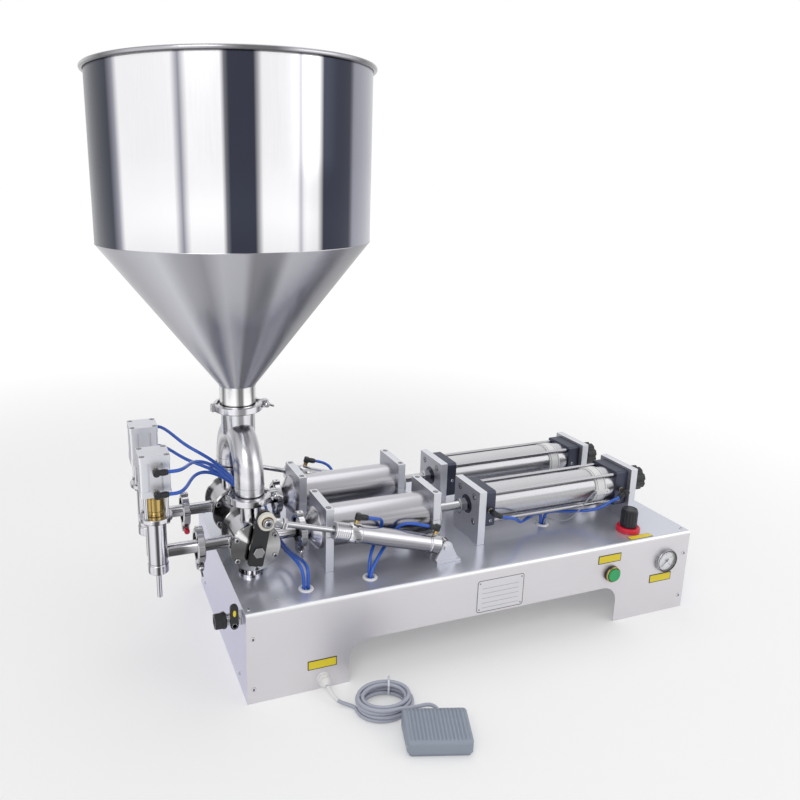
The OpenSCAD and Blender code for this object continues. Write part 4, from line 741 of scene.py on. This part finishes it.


# The actuator's hoses, from its ports down to their grommet

OVER = 31.0
nose_end = on_actuator(LINK_PORTS[0] - REACH, OVER).translation
tail_end = on_actuator(LINK_PORTS[1] + REACH, OVER).translation
swing = {
    "nose": [nose_end, nose_end + STRAIGHT * WAY] + routed([
        (212, -64, 98), (226, -55, 90), (230, -41.5, 68), (218, -43, 44), (198, -66, 32)])
    + hole_end(LEVER_HOLE, 0, 3.6),
    "tail": [tail_end, tail_end - STRAIGHT * WAY] + routed([
        (288, -62, 76), (266, -48, 74), (254, -41, 54), (238, -46, 36), (208, -76, 30)])
    + hole_end(LEVER_HOLE, 0, -3.6),
}
for (end, side), (name, route) in product(SIDES.items(), swing.items()):
    path = smooth(route, 8)
    piece = Piece(f"{end}_{name}_hose", f"{end}_actuator_hoses", slot="hose_blue", side=side)
    hose = piece.tube(path, [HOSE_R] * len(path), "blue").done()
    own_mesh(hose)

# Cabinet

for node, name, look, bevel, slot in (
        ("base_shell", "cabinet_shell", "sheet", 0.35, "cabinet_sheet"),
        ("end_panels", "end_panels_formed", "end", 0.3, "cabinet_sheet"),
        ("manifold", "forked_elbow", "bend", 0.3, "polished_tube"),
        ("material_blocks", "clamp_blocks", "plate", 0.8, "satin_plate"),
        ("air_mounts", "cylinder_mounts", "plate", 0.8, "satin_plate"),
        ("air_caps", "cylinder_caps", "slate", 0.9, "cap_slate"),
        ("actuator_brackets", "clevis_brackets", "plate", 0.5, "bright_metal")):
    dressed(node, name, look, bevel)
for node, look in (("valve_block", "slate"), ("front_piston", "seal"), ("rear_piston", "seal"),
                   ("front_plunger", "chrome"), ("rear_plunger", "chrome")):
    nodes[node].data.materials.clear()
    nodes[node].data.materials.append(LOOKS[look])

# The air inlet takes the place of one screw
LEFT, RIGHT = -42, 858
screws = Piece("cabinet_screws", slot="bright_metal")
for (y, way), x, z in product(((FRONT, "-Y"), (-FRONT, "Y")), (-31, 847), (120, 27)):
    screws.pan_screw(3.8, place(x, y, z, way), 15 + z)
for x, y in product((-34, 848), (-186, 186)):
    screws.pan_screw(3, place(x, y, DECK), y)
for (x, way), y, z in product(((LEFT, "-X"), (RIGHT, "X")), (-150, 150), (140, 24)):
    if (x, y, z) != (LEFT, -150, 140):
        screws.pan_screw(3.4, place(x, y, z, way), z)
screws.done()

grommets = Piece("grommet_rings", "deck_grommets", slot="gland_white")
for side, (x, y) in product(SIDES.values(), (LEVER_HOLE, NOZZLE_HOLE, BARREL_HOLE)):
    grommets.lathe([(7.4, -4.5), (11.5, -4.5), (13, -3.6), (13, -2.6), (12.6, -2), (9.4, -2), (9.4, 0),
                    (13, 0), (13, 0.9), (12, 2), (10, 2.5), (8.4, 2.3), (7.4, 1.4)], "white",
                   side @ place(x, ROW + y, DECK), 48, True)
grommets.done()

labels = Piece("plain_labels", "label_plates", slot="panel_labels")
for spot, h, margin in ((place(88, FRONT, 48, "-Y"), 17, 3), (place(667, FRONT, 139, "-Y"), 17, 3),
                        (place(795, FRONT, 76, "-Y"), 17, 3), (place(746, -187.5, DECK), 13, 1.6)):
    labels.prism(rounded(52, h, 0.6, 2), 0, 0.5, "ink", spot)
    labels.prism(rounded(52 - margin, h - margin, 0.4, 2), 0.5, 0.75, "yellow", spot)
RATING_PLATE = place(429, FRONT, 113, "-Y")
labels.prism(rounded(97, 64, 5), 0, 0.5, "pale", RATING_PLATE)
labels.frame(rounded(96, 63, 4.8), rounded(94, 61, 4), 0.4, 0.62, "ink", RATING_PLATE)
for y in (15, 5.5, -4, -13.5, -23):
    labels.box((-38, y - 0.2, 0.4), (38, y + 0.2, 0.58), "ink", RATING_PLATE)
for x, y in product((-43, 43), (-26, 26)):
    labels.rod(1.5, 0.4, 1, "chrome", RATING_PLATE @ shift(x, y), 16)
labels.done()

# Pressure gauge

GAUGE = place(803, FRONT, 112, "-Y")
DIAL_START, DIAL_SWEEP, DIAL_MARKS, DIAL_R, DIAL_Z = 225, 270, 40, 18.7, 2.2
gauge = Piece("pressure_gauge", "gauge_case", slot="gauge_white")
gauge.lathe([(21.5, 1), (24, 0), (24, 1.6), (23.3, 2.1), (23.8, 2.9), (23.9, 5.4), (23.2, 6.5), (22.4, 7),
             (21.8, 6.6), (21.3, 5.6), (21.3, 1)], "rim", GAUGE, 80, True)
gauge.lathe([(22.3, 7.1), (21.3, 6.8), (21.3, 0.6), (20.1, 0.6), (20.1, 4), (20.9, 6.9), (21.6, 7.2)], "ink",
            GAUGE, 80, True)
gauge.rod(21, 0.4, DIAL_Z, "dial", GAUGE, 64)
gauge.rod(21.5, -24, -2, "ink", GAUGE, 48)
for k in range(DIAL_MARKS + 1):
    inner = 15.4 if k % 10 == 0 else 16.6 if k % 5 == 0 else 17.4
    wide = 0.3 if k % 5 == 0 else 0.18
    gauge.box((inner, -wide, DIAL_Z), (DIAL_R, wide, DIAL_Z + 0.15), "ink",
              GAUGE @ spin(DIAL_START - DIAL_SWEEP * k / DIAL_MARKS))
arch = [(DIAL_R, DIAL_Z), (DIAL_R + 0.4, DIAL_Z), (DIAL_R + 0.4, DIAL_Z + 0.15), (DIAL_R, DIAL_Z + 0.15)]
gauge.lathe(arch, "ink", GAUGE, 64, False, DIAL_START - DIAL_SWEEP, DIAL_START)
gauge.rod(1.1, DIAL_Z, 3.3, "chrome", GAUGE, 16)
gauge.done()
for k, text in enumerate("02468"):
    words = bpy.data.curves.new(f"gauge_number_{text}", "FONT")
    words.body, words.size, words.extrude = text, 4.2 * MM, 0.04 * MM
    words.align_x, words.align_y = "CENTER", "CENTER"
    words.materials.append(LOOKS["ink"])
    number = bpy.data.objects.new(f"gauge_number_{text}", words)
    spot = GAUGE @ shift(*polar(12.6, DIAL_START - DIAL_SWEEP * k / 4), DIAL_Z + 0.08)
    number.matrix_world = shift(*(spot.translation * MM)) @ spin(90, "X")
    attach(number, "machine")
lens = Piece("gauge_lens", slot="gauge_white")
lens.lathe([(21.2, 5.7), (21.2, 6), (17, 6.35), (11, 6.6), (5, 6.7), (0.4, 6.75)], "lens", GAUGE, 64).done()
needle = Piece("gauge_hand", "gauge_needle", body="gauge_hand", slot="needle_black")
needle.rod(2.4, 4.2, 5, "ink", GAUGE)
needle.prism([(-5.5, -1.1), (0, -0.9), (16, -0.25), (16, 0.25), (0, 0.9), (-5.5, 1.1)], 4.3, 4.8, "ink",
             GAUGE @ spin(DIAL_START)).done()

# Start button and regulator

BUTTON, REGULATOR = place(674, FRONT, 107, "-Y"), place(743, -158, DECK)
bezel = Piece("button_ring", "button_bezel", slot="bright_metal")
bezel.lathe([(12.9, -5), (12.9, 7.4), (13.4, 8), (14.6, 8), (15.4, 7.2), (15.6, 5.2), (15.2, 4.6),
             (12.9, 4.6)], "brass", BUTTON, 72, True)
bezel.lathe([(15.2, 4.6), (15.2, 2.2), (16, 1.6), (16, 0), (14.5, 0), (14.5, -30), (13, -30), (13, -5),
             (13, 4.6)], "black", BUTTON, 72, True).done()
face = Piece("button_face", "button_cap", body="start_button", slot="button_green")
face.lathe([(12.2, -4), (12.5, 9.6), (12.2, 10.5), (11.4, 11), (8, 10.8), (4, 10.7), (0.3, 10.65)], "green",
           BUTTON, 72).done()

collar = Piece("regulator_base", "regulator_body", slot="regulator_red", bevel=0.3)
collar.lathe([(20.6, 0), (22, 0.8), (22, 2.6), (21.2, 3.2), (21.2, 4), (21.8, 4.6), (21.8, 8.2), (20.4, 9.8),
              (17.2, 10), (17.2, 9.3), (9, 9.3), (9, 0)], "red", REGULATOR, 72, True)
for k in range(24):
    collar.box((21.4, -0.8, 4.8), (22, 0.8, 8), "red", REGULATOR @ spin(360 * k / 24))
collar.rod(8.9, 8, 27.5, "nickel", REGULATOR, 32)
collar.rod(20, -48, -2.2, "slate", REGULATOR, 48)
collar.done()
knob = Piece("regulator_dial", "regulator_knob", body="regulator_dial", slot="knob_black", bevel=0.3)
fluted = [15.5 - 0.9 * math.sqrt(max(0.0, math.cos(math.tau * k / 6))) for k in range(96)]
knob.prism([polar(r, 360 * k / 96) for k, r in enumerate(fluted)], 15.4, 41.4, "black", REGULATOR)
knob.lathe([(14.6, 10.4), (15.4, 10.8), (15.4, 15.4), (14.8, 15.6), (9, 15.6), (9, 10.4)], "black",
           REGULATOR, 64, True)
knob.lathe([(14.5, 41.2), (14.4, 44.6), (13.2, 46.2), (11.6, 46.4), (11.2, 45.6), (0.4, 45.6)], "black",
           REGULATOR, 64).done()

# Air inlet: its stem comes out of the left end, its lever turns on a stem towards the front

INLET, STEM_X, LEVER_Y = (LEFT, -174, 147), -59, -196
spot = place(*INLET, "-X")
inlet = Piece("inlet_body", "inlet_valve", slot="bright_metal", bevel=0.25)
inlet.hexagon(13, 0, 7, "nickel", spot)
inlet.rod(10.5, 7, 10, "nickel", spot, 40)
inlet.threads(10, 10, 27, 1.9, "chrome", spot)
inlet.rod(10, -24, -0.2, "nickel", spot, 32)
inlet.lathe([(4, 27), (12.6, 27), (14, 28.4), (14, 44.6), (12.8, 46), (8.4, 46), (7.6, 45), (4, 45)],
            "black", spot, 6, True)
inlet.ring(13.7, 4, 28.6, 33, "satin_black", spot)
inlet.rod(4, 9.8, 22, "nickel", place(STEM_X, INLET[1], INLET[2], "-Y"))
inlet.done()
spot = place(STEM_X, LEVER_Y, INLET[2], "Y")
blade = Piece("inlet_handle", "inlet_lever", body="shutoff", slot="lever_black", bevel=0.8)
blade.prism(arc(6.5, 0, 180, 12) + arc(6.5, 180, 360, 12, y=-30), 0.6, 7, "satin_black", spot)
blade.hexagon(4.6, 0, 1.4, "nickel", spot)
blade.prism([(2.6 * x, 5.6 * y - 22) for x, y in circle(1, 24)], 0.2, 0.8, "yellow", spot).done()

# Hopper and forked elbow

hopper = Piece("hopper_spun", "hopper", slot="hopper_sheet")
outside = [(33.5, HOPPER_FOOT), (SPOUT_FERRULE, HOPPER_FOOT), (SPOUT_FERRULE, 451.3), (37.4, 453),
           (31.9, 453.9), (SPOUT_R, 455), (SPOUT_R, 487.6), (32.3, 489.8), (128.4, 613), (224.1, 735.6),
           (HOPPER_R, 737.4), (HOPPER_R, 868), (HOPPER_R, HOPPER_TOP)]
middle = [(224, HOPPER_TOP), (224, 868), (224, 738), (127.6, 613.6), (30.9, 489.6), (30.75, 455),
          (30.75, 450.2)]
lining = [(30.7, 450.2), (30.7, 489.6), (127.5, 613.7), (223.9, 738), (223.9, 1002), (223, 1002),
          (223, 738.3), (126.8, 614.2), (29.75, 490), (29.75, HOPPER_FOOT)]
hopper.lathe(outside + middle, "hopper", n=192, closed=True)
hopper.lathe(lining, "inner", n=192, closed=True)
hopper.torus(HOPPER_R + 2.75, 3.75, "rim", n=192, m=20, h=HOPPER_TOP + 1)
hopper.torus(HOPPER_R, 0.55, "nickel", n=192, m=8, h=737.2)
hopper.torus(SPOUT_R + 0.25, 0.6, "nickel", n=64, m=8, h=488.8)
hopper.done()

welds = Piece("elbow_welds", slot="polished_tube")
welds.torus(30, 0.5, "nickel", place(0, 0, 445.5), 64, 8)
for side in SIDES.values():
    for radius, r, z, n in ((25.5, 0.5, 330, 64), (25.5, 0.5, 313, 64), (17, 0.6, 268.6, 48)):
        welds.torus(radius, r, "nickel", side @ place(0, ROW, z), n, 8)
    for x in (-40.5, 40.5):
        welds.torus(11.2, 0.7, "nickel", on_row(side), 40, 8, x)
welds.done()

# Clamps


def clamp(piece, at, r):
    """Two half rings, a hinge at -X, and a swing bolt with its wing nut at +X."""
    out = r + 5
    band = [(r - 2.4, -6.5), (r + 3, -6.5), (out, -5), (out, 5), (r + 3, 6.5), (r - 2.4, 6.5),
            (r + 0.3, 3.3), (r + 0.3, -3.3)]
    hinge, bolt = at @ shift(-out), at @ shift(out + 6) @ spin(90, "X")
    for s, start in ((1, 7), (-1, 187)):
        piece.lathe(band, "chrome", at, 40, True, start, start + 166)
        lug = [(out + x, s * y) for x, y in ((-4, 0.9), (9, 0.9), (11, 2.4), (11, 5), (8.5, 6.6), (-4, 6.6))]
        piece.prism(lug, -6.5, -3.6, "chrome", at)
        piece.prism(lug, 3.6, 6.5, "chrome", at)
        piece.prism([(out + x, s * y) for x, y in ((-4, 0.9), (1.5, 0.9), (1.5, 6.6), (-4, 6.6))], -3.6, 3.6,
                    "chrome", at)
        piece.ring(5.6, 2.2, *sorted((s * 1.2, s * 5.8)), "chrome", hinge, 24)
        low, high = sorted((s * 0.8, s * 6.2))
        piece.box((-out - 4, low, -6.2), (-out + 5, high, 6.2), "chrome", at)
        wing = [(2.6, 9), (5.4, 8.4), (8, 12.5), (10.6, 18), (11, 21.4), (9.8, 23.6), (7.8, 23.4),
                (6.2, 20.4), (4.6, 16), (2.6, 14)]
        piece.prism([(s * x, y) for x, y in wing], -1.5, 1.5, "chrome", bolt @ spin(90, "X"))
    piece.lathe([(1.2, -7.6), (3, -7.2), (3, -6.2), (2.2, -6), (2.2, 6), (3, 6.2), (3, 7.2), (1.2, 7.6)],
                "nickel", hinge, 20)
    piece.threads(2.9, -12, 17.6, 1.3, "nickel", bolt, 20)
    piece.lathe([(4.4, -13.5), (5, -12.6), (5, -8.4), (4.4, -7.4)], "chrome", bolt, 24)
    piece.lathe([(5.4, 7.2), (6, 8.2), (6, 10.6), (5, 12), (4.2, 16.4), (3, 17.4)], "chrome", bolt, 28)


clamps = Piece("pipe_clamps", "tri_clamps", slot="bright_metal", bevel=0.45)
clamp(clamps, place(0, 0, HOPPER_FOOT), SPOUT_FERRULE)
for side in SIDES.values():
    clamp(clamps, side @ place(0, ROW, ELBOW_FOOT), ELBOW_FERRULE)
    for x in (-PORT, PORT):
        clamp(clamps, on_row(side, x), ROW_FERRULE)
clamps.done()
plug = Piece("bolt_cap_red", slot="regulator_red", bevel=0.3)
plug.lathe([(4.4, -1), (5.2, 0), (5.4, 7), (4.6, 9), (2.5, 9.8)], "red", place(-PORT, 61, 194.75, "-Y"),
           28).done()

# Rows: screws, material cylinders, air cylinders

fasteners = Piece("row_screws", slot="bright_metal")
for side in SIDES.values():
    for x, y in product(BLOCKS, (-36, 36)):
        fasteners.sunk_screw(3.7, 0.7, on_row(side, x + BLOCK_T / 2, y, BLOCK_RISE, "Z"), 4.9)
    for (x, way), y, z in product(((MOUNTS[0], "-X"), (MOUNT_END, "X")), (-25.5, 25.5), (-25.5, 25.5)):
        fasteners.sunk_screw(4.8, 0.9, on_row(side, x, y, z, way), 6.2, n=28)
    for x, (y, z, way) in product((460, 758), ((-CAP_HALF, -24, "-Y"), (CAP_HALF, -2, "Y"))):
        fasteners.socket_screw(3, 0.9, "chrome", on_row(side, x, y, z, way))
    fasteners.ring(18.2, 9.5, -0.2, 0.4, "slate", on_row(side, MOUNTS[0]))
    fasteners.hexagon(12.5, 0, 5, "nickel", on_row(side, MOUNT_END))
fasteners.done()

tubes = Piece("material_tubes", "material_cylinders", slot="ground_tube")
barrels = Piece("air_cylinder_barrels", "air_barrels", slot="barrel_tube")
bands = Piece("sensor_bands", "reed_sensors", slot="seal_white", bevel=0.3)
for side in SIDES.values():
    row, spot = on_row(side), on_row(side, 715, -33, 0, "-Y")
    tubes.lathe([(9, 90), (25.25, 90), (25.25, 91.4), (24.2, 93), (11.6, 93.4), (11, 94.4), (11, 97),
                 (12.4, 98.4), (36.6, 116.4), (38, 118.6), (38, 351.4), (37.4, 352), (35.5, 352),
                 (35.5, 118), (9, 97)], "ground", row, 96, True)
    tubes.torus(11.2, 0.6, "nickel", row, 40, 8, 97)
    barrels.ring(33, 30, 469, 748, "barrel", row, 96)
    for y, z in product((-28, 28), repeat=2):
        barrels.rod(3.5, 468, 749, "chrome", on_row(side, 0, y, z), 20)
    bands.ring(35.4, 33.05, 703, 727, "white", row, 96)
    bands.lathe([(33.1, 705), (35.6, 705.6), (35.6, 707), (33.1, 707.6)], "cable", row, 96, True)
    bands.lathe([(33.1, 722.4), (35.6, 723), (35.6, 724.4), (33.1, 725)], "cable", row, 96, True)
    bands.prism(rounded(30, 8, 1.5, 3), 0, 7.8, "white", spot)
    bands.box((-8, -4.6, 0.5), (8, -4, 7), "cable", spot)
    bands.rod(1.1, 7.6, 8, "green", spot @ shift(9), 16)
    bands.lathe([(1.2, 0), (2.4, 0.4), (2.2, 5), (1.5, 8)], "cable", on_row(side, 701, -37, 0, "-X"), 20)
for piece in (tubes, barrels, bands):
    piece.done()

# Rows: rods, wheels, valves and their levers

covers = Piece("valve_cover_plates", "valve_covers", slot="bright_metal", bevel=0.3)
for end, side in SIDES.items():
    for node, name, look, bevel, slot in (("piston_rod", "ram_rod", "chrome", 0.5, "bright_metal"),
                                          ("handwheel", "stop_wheel", "satin_black", 1.3, "knob_black"),
                                          ("valve_body", "valve_housing", "polish", 0.6, "polished_tube"),
                                          ("valve_rotor", "valve_shaft", "chrome", 0.5, "bright_metal")):
        dressed(f"{end}_{node}", f"{end}_{name}", look, bevel)
    screw = Piece(f"{end}_stop_thread", f"{end}_stop_screw", body=f"{end}_stop", slot="bright_metal")
    screw.threads(8, 745.5, 837.5, 2, "nickel", on_row(side))
    screw.rod(6.5, 837, 839, "nickel", on_row(side)).done()
    for y, way in ((-33, "-Y"), (33, "Y")):
        spot = on_row(side, 0, y, 0, way)
        covers.lathe([(8.1, 0), (44, 0), (44, 4.6), (42.8, 6), (13, 6), (12.4, 5.2), (8.1, 5.2)], "turned",
                     spot, 96, True)
        covers.ring(12.2, 8.1, 5, 5.8, "seal", spot, 40)
        for degrees in range(30, 390, 60):
            covers.socket_screw(4.7, 3, "chrome", spot @ shift(*polar(38, degrees), 5.9))
    lever = Piece(f"{end}_valve_arm", f"{end}_valve_lever", body=f"{end}_valve", slot="lever_black",
                  bevel=0.9, side=side)
    spot = place(0, ROW - 45, AXIS, "-Y", -LEVER_TURN)
    tip = spot @ shift(0, LEVER)
    lever.prism(arc(13, 0, 180, 16, y=LEVER) + [(-13, -25), (-11, -27), (11, -27), (13, -25)], 0, 8,
                "satin_black", spot)
    lever.lathe([(8, 7.9), (8, 11.6), (7, 12.6), (5, 12.6), (5, 27.4), (8.4, 27.4), (8.8, 27.9), (8.8, 28.9),
                 (7.2, 29.1)], "chrome", tip, 32)
    lever.socket_screw(6.8, 3.6, "chrome", tip @ shift(0, 0, 28.9))
    lever.done()
covers.done()

# Valve actuators

line, nut = on_actuator(0), PIN_TO_EYE - 27
for end, side in SIDES.items():
    rod = Piece(f"{end}_link_rod_end", f"{end}_actuator_rod", body=f"{end}_link_rod", slot="bright_metal",
                bevel=0.3, side=side)
    rod.rod(13.9, 161.6, 171.6, "seal", line, 40)
    rod.rod(5, 166, nut + 3, "chrome", line, 32)
    rod.hexagon(10, nut - 8, nut, "chrome", line)
    rod.lathe([(6.4, nut), (8, nut + 1), (8, nut + 10), (7.2, nut + 12.5), (7.2, nut + 15)], "chrome",
              line, 32)
    eye = place(*EYE, "-Y")
    rod.lathe([(10.2, -5.6), (13.4, -5.6), (15, -4.2), (15, 4.2), (13.4, 5.6), (10.2, 5.6), (10.9, 0)],
              "cream", eye, 64, True)
    rod.lathe([(5.1, -7), (7.2, -7), (9.4, -4.2), (10.6, 0), (9.4, 4.2), (7.2, 7), (5.1, 7)], "brass", eye,
              48, True)
    rod.done()
    barrel = Piece(f"{end}_link_cylinder", f"{end}_actuator_barrel", body=f"{end}_link_barrel",
                   slot="ground_tube", bevel=0.35, side=side)
    barrel.ring(12, 7, -6, 6, "chrome", line @ spin(-90, "X"), 40)
    barrel.box((-12, -6, 8.5), (12, 6, 14.5), "chrome", line)
    barrel.lathe([(14.5, 14), (17.5, 16.4), (17.5, 34), (16.4, 35), (16.4, 37), (17.2, 37.4), (16, 38.2)],
                 "chrome", line, 64)
    barrel.rod(16, 38, 176, "ground", line, 64)
    barrel.lathe([(16, 175.8), (17.2, 176.6), (16.4, 177.2), (16.4, 179), (17.5, 180), (17.5, 194),
                  (15, 198)], "chrome", line, 64)
    barrel.threads(15.5, 198, 225, 3.857, "chrome", line, 48)
    barrel.lathe([(15, 224.6), (14.2, 225.1), (8, 225.1)], "plate", line)
    # Painted shade in the bore of the nose.
    barrel.lathe([(8, 225.1), (7.8, 224.9), (6.2, 224.9)], "dark", line, 32)
    # Small holes drawn as dark dots of painted shade.
    for degrees in (60, 150, 240, 330):
        barrel.rod(1.6, 16.4, 18, "dark", on_actuator(LINK_PORTS[0]) @ spin(degrees) @ spin(90, "Y"), 12)
    for at, degrees in zip(LINK_PORTS, (0, 180)):
        fitting(barrel, on_actuator(at, LINK_FOOT) @ spin(90, "Y") @ spin(degrees))
    barrel.done()

# Nozzle heads


def extrusion(w, r=4):
    """Square profile with two narrow grooves in each side."""
    half = w / 2
    line = arc(r, 0, 90, 5, half - r, half - r)
    for x in (10.5, -10.5):
        line += [(x + 1.3, half), (x + 1.3, half - 2), (x - 1.3, half - 2), (x - 1.3, half)]
    return [(x * c - y * s, x * s + y * c) for c, s in ((1, 0), (0, 1), (-1, 0), (0, -1)) for x, y in line]


cap = rounded(2 * HEAD_HALF, 2 * HEAD_HALF, 4)
tips = Piece("nozzle_outlets", "nozzle_tips", slot="polished_tube", bevel=0.3)
spacers = Piece("brass_spacers", "nozzle_spacers", slot="brass_spacer", bevel=0.3)
heads = Piece("nozzle_air_cylinders", "nozzle_cylinders", slot="satin_plate", bevel=0.4)
for end, side in SIDES.items():
    spot, pipe = side @ place(NOZZLE_X, ROW, 0), on_row(side, NOZZLE_X)
    nozzle = Piece(f"{end}_nozzle_tube", f"{end}_nozzle_body", slot="polished_tube", bevel=0.4)
    nozzle.lathe([(12, NOZZLE_FOOT), (15.9, NOZZLE_FOOT), (16.5, 214.8), (16.5, 286.5), (15.7, 287.2),
                  (15.7, 288.4), (16.5, 289.2), (16.5, 292), (26.6, 292), (27.5, 293), (27.5, 299),
                  (26.6, NOZZLE_TOP), (12, NOZZLE_TOP)], "polish", spot, 80, True)
    nozzle.lathe([(9, 12), (11, 12), (11, 65.6), (11.6, 66.6), (24.2, 67), (25.25, 68.4), (25.25, 70),
                  (9, 70)], "polish", pipe, 56, True)
    nozzle.torus(11.1, 0.6, "nickel", pipe, 40, 8, 66)
    nozzle.torus(11.6, 0.7, "nickel", pipe, 40, 8, 15.6)
    for x, y in product((-17, 17), repeat=2):
        post = spot @ shift(x, y)
        nozzle.hexagon(4.4, NOZZLE_TOP, NOZZLE_TOP + 3, "nickel", post)
        nozzle.lathe([(3.4, 289.6), (4, 290.4), (4, 292.2)], "nickel", post, 20)
        spacers.rod(3, NOZZLE_TOP + 2, HEAD_FOOT, "chrome", post, 20)
    nozzle.done()
    tips.lathe([(5, 196), (16.2, 196), (17.5, 197.4), (17.5, 211.4), (16.6, 212.4), (16.6, NOZZLE_FOOT),
                (5, NOZZLE_FOOT)], "polish", spot, 64, True)
    for degrees in (45, 135, 225, 315):
        tips.box((16.2, -3.5, 199), (17.5, 3.5, 209), "chrome", spot @ spin(degrees))
    tips.lathe([(3, 148), (4.2, 148), (4.5, 148.5), (4.5, 190), (6.5, 194), (7.5, 196.2), (3, 196.2)],
               "polish", spot, 40, True)
    spacers.lathe([(5.5, NOZZLE_TOP), (13.2, NOZZLE_TOP), (14, 301), (14, 306), (13.2, 307), (13.2, 308.4),
                   (14, 309.4), (14, 331), (13.2, 332), (13.2, 333.4), (14, 334.4), (14, 339),
                   (13.2, HEAD_FOOT), (5.5, HEAD_FOOT)], "brass", spot, 64, True)
    for outline, h0, h1 in ((cap, HEAD_FOOT, 351), (extrusion(48.6), 351, 399), (cap, 399, HEAD_TOP)):
        heads.prism(outline, h0, h1, "plate", spot)
    for x, y in product((-19.5, 19.5), repeat=2):
        heads.sunk_screw(3.2, 0.6, spot @ shift(x, y, HEAD_TOP), 4.3, -0.4)
for piece in (tips, spacers, heads):
    piece.done()

# Glands and the coil's tie

glands = Piece("cord_gland_nuts", "cord_glands", slot="gland_white", bevel=0.35)
spot = place(CORD_EXIT_X, FRONT, CORD_EXIT_Z, "-Y")
glands.lathe([(12, 0), (12, 2), (11.2, 2.6)], "white", spot, 40)
glands.hexagon(11.6, 2.4, 9, "white", spot)
glands.lathe([(9.2, 8.8), (9.6, 10), (9.4, 14), (7.6, 17.4), (5.4, 20.4), (4.3, 22), (3.1, 22)], "white",
             spot, 40)
for k in range(14):
    glands.box((8.9, -0.6, 9.6), (9.9, 0.6, 14.2), "white", spot @ spin(360 * k / 14))
glands.rod(11, -11, -2.1, "white", spot, 6)
glands.lathe([(4.5, 0), (4.5, 2.4), (4, 3), (4.4, 3.6), (3.9, 5), (4.2, 5.8), (3.7, 7.4), (3.4, 10),
              (3.05, 10)], "pedal", PEDAL @ place(CORD_X, 30.7, 7, "Y"), 32)
glands.done()
sleeve = lead[3:18]
relief = Piece("cord_strain_relief", slot="gland_white")
relief.tube(sleeve, [4.1 - 0.95 * k / (len(sleeve) - 1) for k in range(len(sleeve))], "white", 24).done()

# The tie is a flat band round the bundle, with its lock and a short tail
TIE_W, TIE_H, BAND_T, BAND_W, BUNDLE_IN = 19.0, 27.4, 0.6, 1.7, 5.6
x, y = polar(1, 62)
middle = Vector((COIL_X + (COIL_A - BUNDLE_IN) * x, COIL_Y + (COIL_B - BUNDLE_IN) * y, 14.4))
heading = Vector((-COIL_A * y, COIL_B * x, 0)).normalized()
across, up = Vector((heading.y, -heading.x, 0)), Vector((0, 0, 1))
spot = shift(*middle) @ Matrix((across, up, across.cross(up))).transposed().to_4x4()
r = TIE_W / 2 - 0.05
tie = Piece("coil_tie", slot="gland_white", bevel=0.15)
tie.frame(rounded(TIE_W + 2 * BAND_T, TIE_H + 2 * BAND_T, r + BAND_T, 8), rounded(TIE_W, TIE_H, r, 8),
          -BAND_W, BAND_W, "clear", spot)
tie.box((-2.2, TIE_H / 2 + 0.2, -BAND_W - 0.7), (2.2, TIE_H / 2 + 2.6, BAND_W + 0.7), "clear", spot)
tie.box((-0.5, TIE_H / 2 + 2.4, 0.2 - BAND_W), (0.5, TIE_H / 2 + 7.5, BAND_W - 0.2), "clear", spot)
tie.done()

# Floor, backdrop and lights


def shown_to_eye(tree):
    """1 for rays that look at the background: camera, mirror and glass rays."""
    ray = tree.add("LightPath").outputs
    seen = tree.math("MAXIMUM", ray["Is Camera Ray"], ray["Is Glossy Ray"])
    return tree.math("MAXIMUM", seen, ray["Is Transmission Ray"])


scene.world = bpy.data.worlds.new("studio")
sky = Nodes(scene.world)
level = sky.add("MapRange", {"Value": shown_to_eye(sky), "To Min": 0.62, "To Max": 1.0}).outputs[0]
for socket, value in (("Color", (1, 1, 1, 1)), ("Strength", level)):
    sky.wire(sky.tree.nodes["Background"], socket, value)

paper = Look("studio_floor", (0.78, 0.78, 0.78), 0.9, Specular_IOR_Level=0.1, Emission_Color=(1, 1, 1, 1))
reach = paper.add("VectorMath", {0: paper.point}, operation="LENGTH").outputs["Value"]
far = paper.add("MapRange", {"Value": reach, "From Min": 0.8, "From Max": 3.2, "To Min": 0.22,
                             "To Max": 0.56}, interpolation_type="SMOOTHSTEP").outputs[0]
for socket, value in (("Base Color", paper.colour), ("Roughness", paper.rough),
                      ("Emission Strength", paper.math("MULTIPLY", shown_to_eye(paper), far))):
    paper.wire(paper.shader, socket, value)
floor_mesh = bpy.data.meshes.new("studio_floor")
floor_mesh.from_pydata([(x, y, -0.0004) for x, y in ((-40, -40), (40, -40), (40, 40), (-40, 40))], [],
                       [(0, 1, 2, 3)])
floor_mesh.materials.append(paper.material)
floor = bpy.data.objects.new("studio_floor", floor_mesh)
scene.collection.objects.link(floor)

for name, at, aim, power, size in (("key", (-1.6, -2.2, 2.6), (0.3, 0, 0.3), 27, 1.6),
                                   ("fill", (2.4, -1.8, 1.6), (0.3, 0, 0.3), 10, 1.8),
                                   ("top", (0.4, 0.6, 2.8), (0.3, 0, 0.2), 10, 2.0)):
    light = bpy.data.lights.new(name, "AREA")
    light.energy, light.size, light.shape = power, size, "SQUARE"
    lamp = bpy.data.objects.new(name, light)
    lamp.location = at
    lamp.rotation_euler = (Vector(aim) - Vector(at)).to_track_quat("-Z", "Y").to_euler()
    scene.collection.objects.link(lamp)
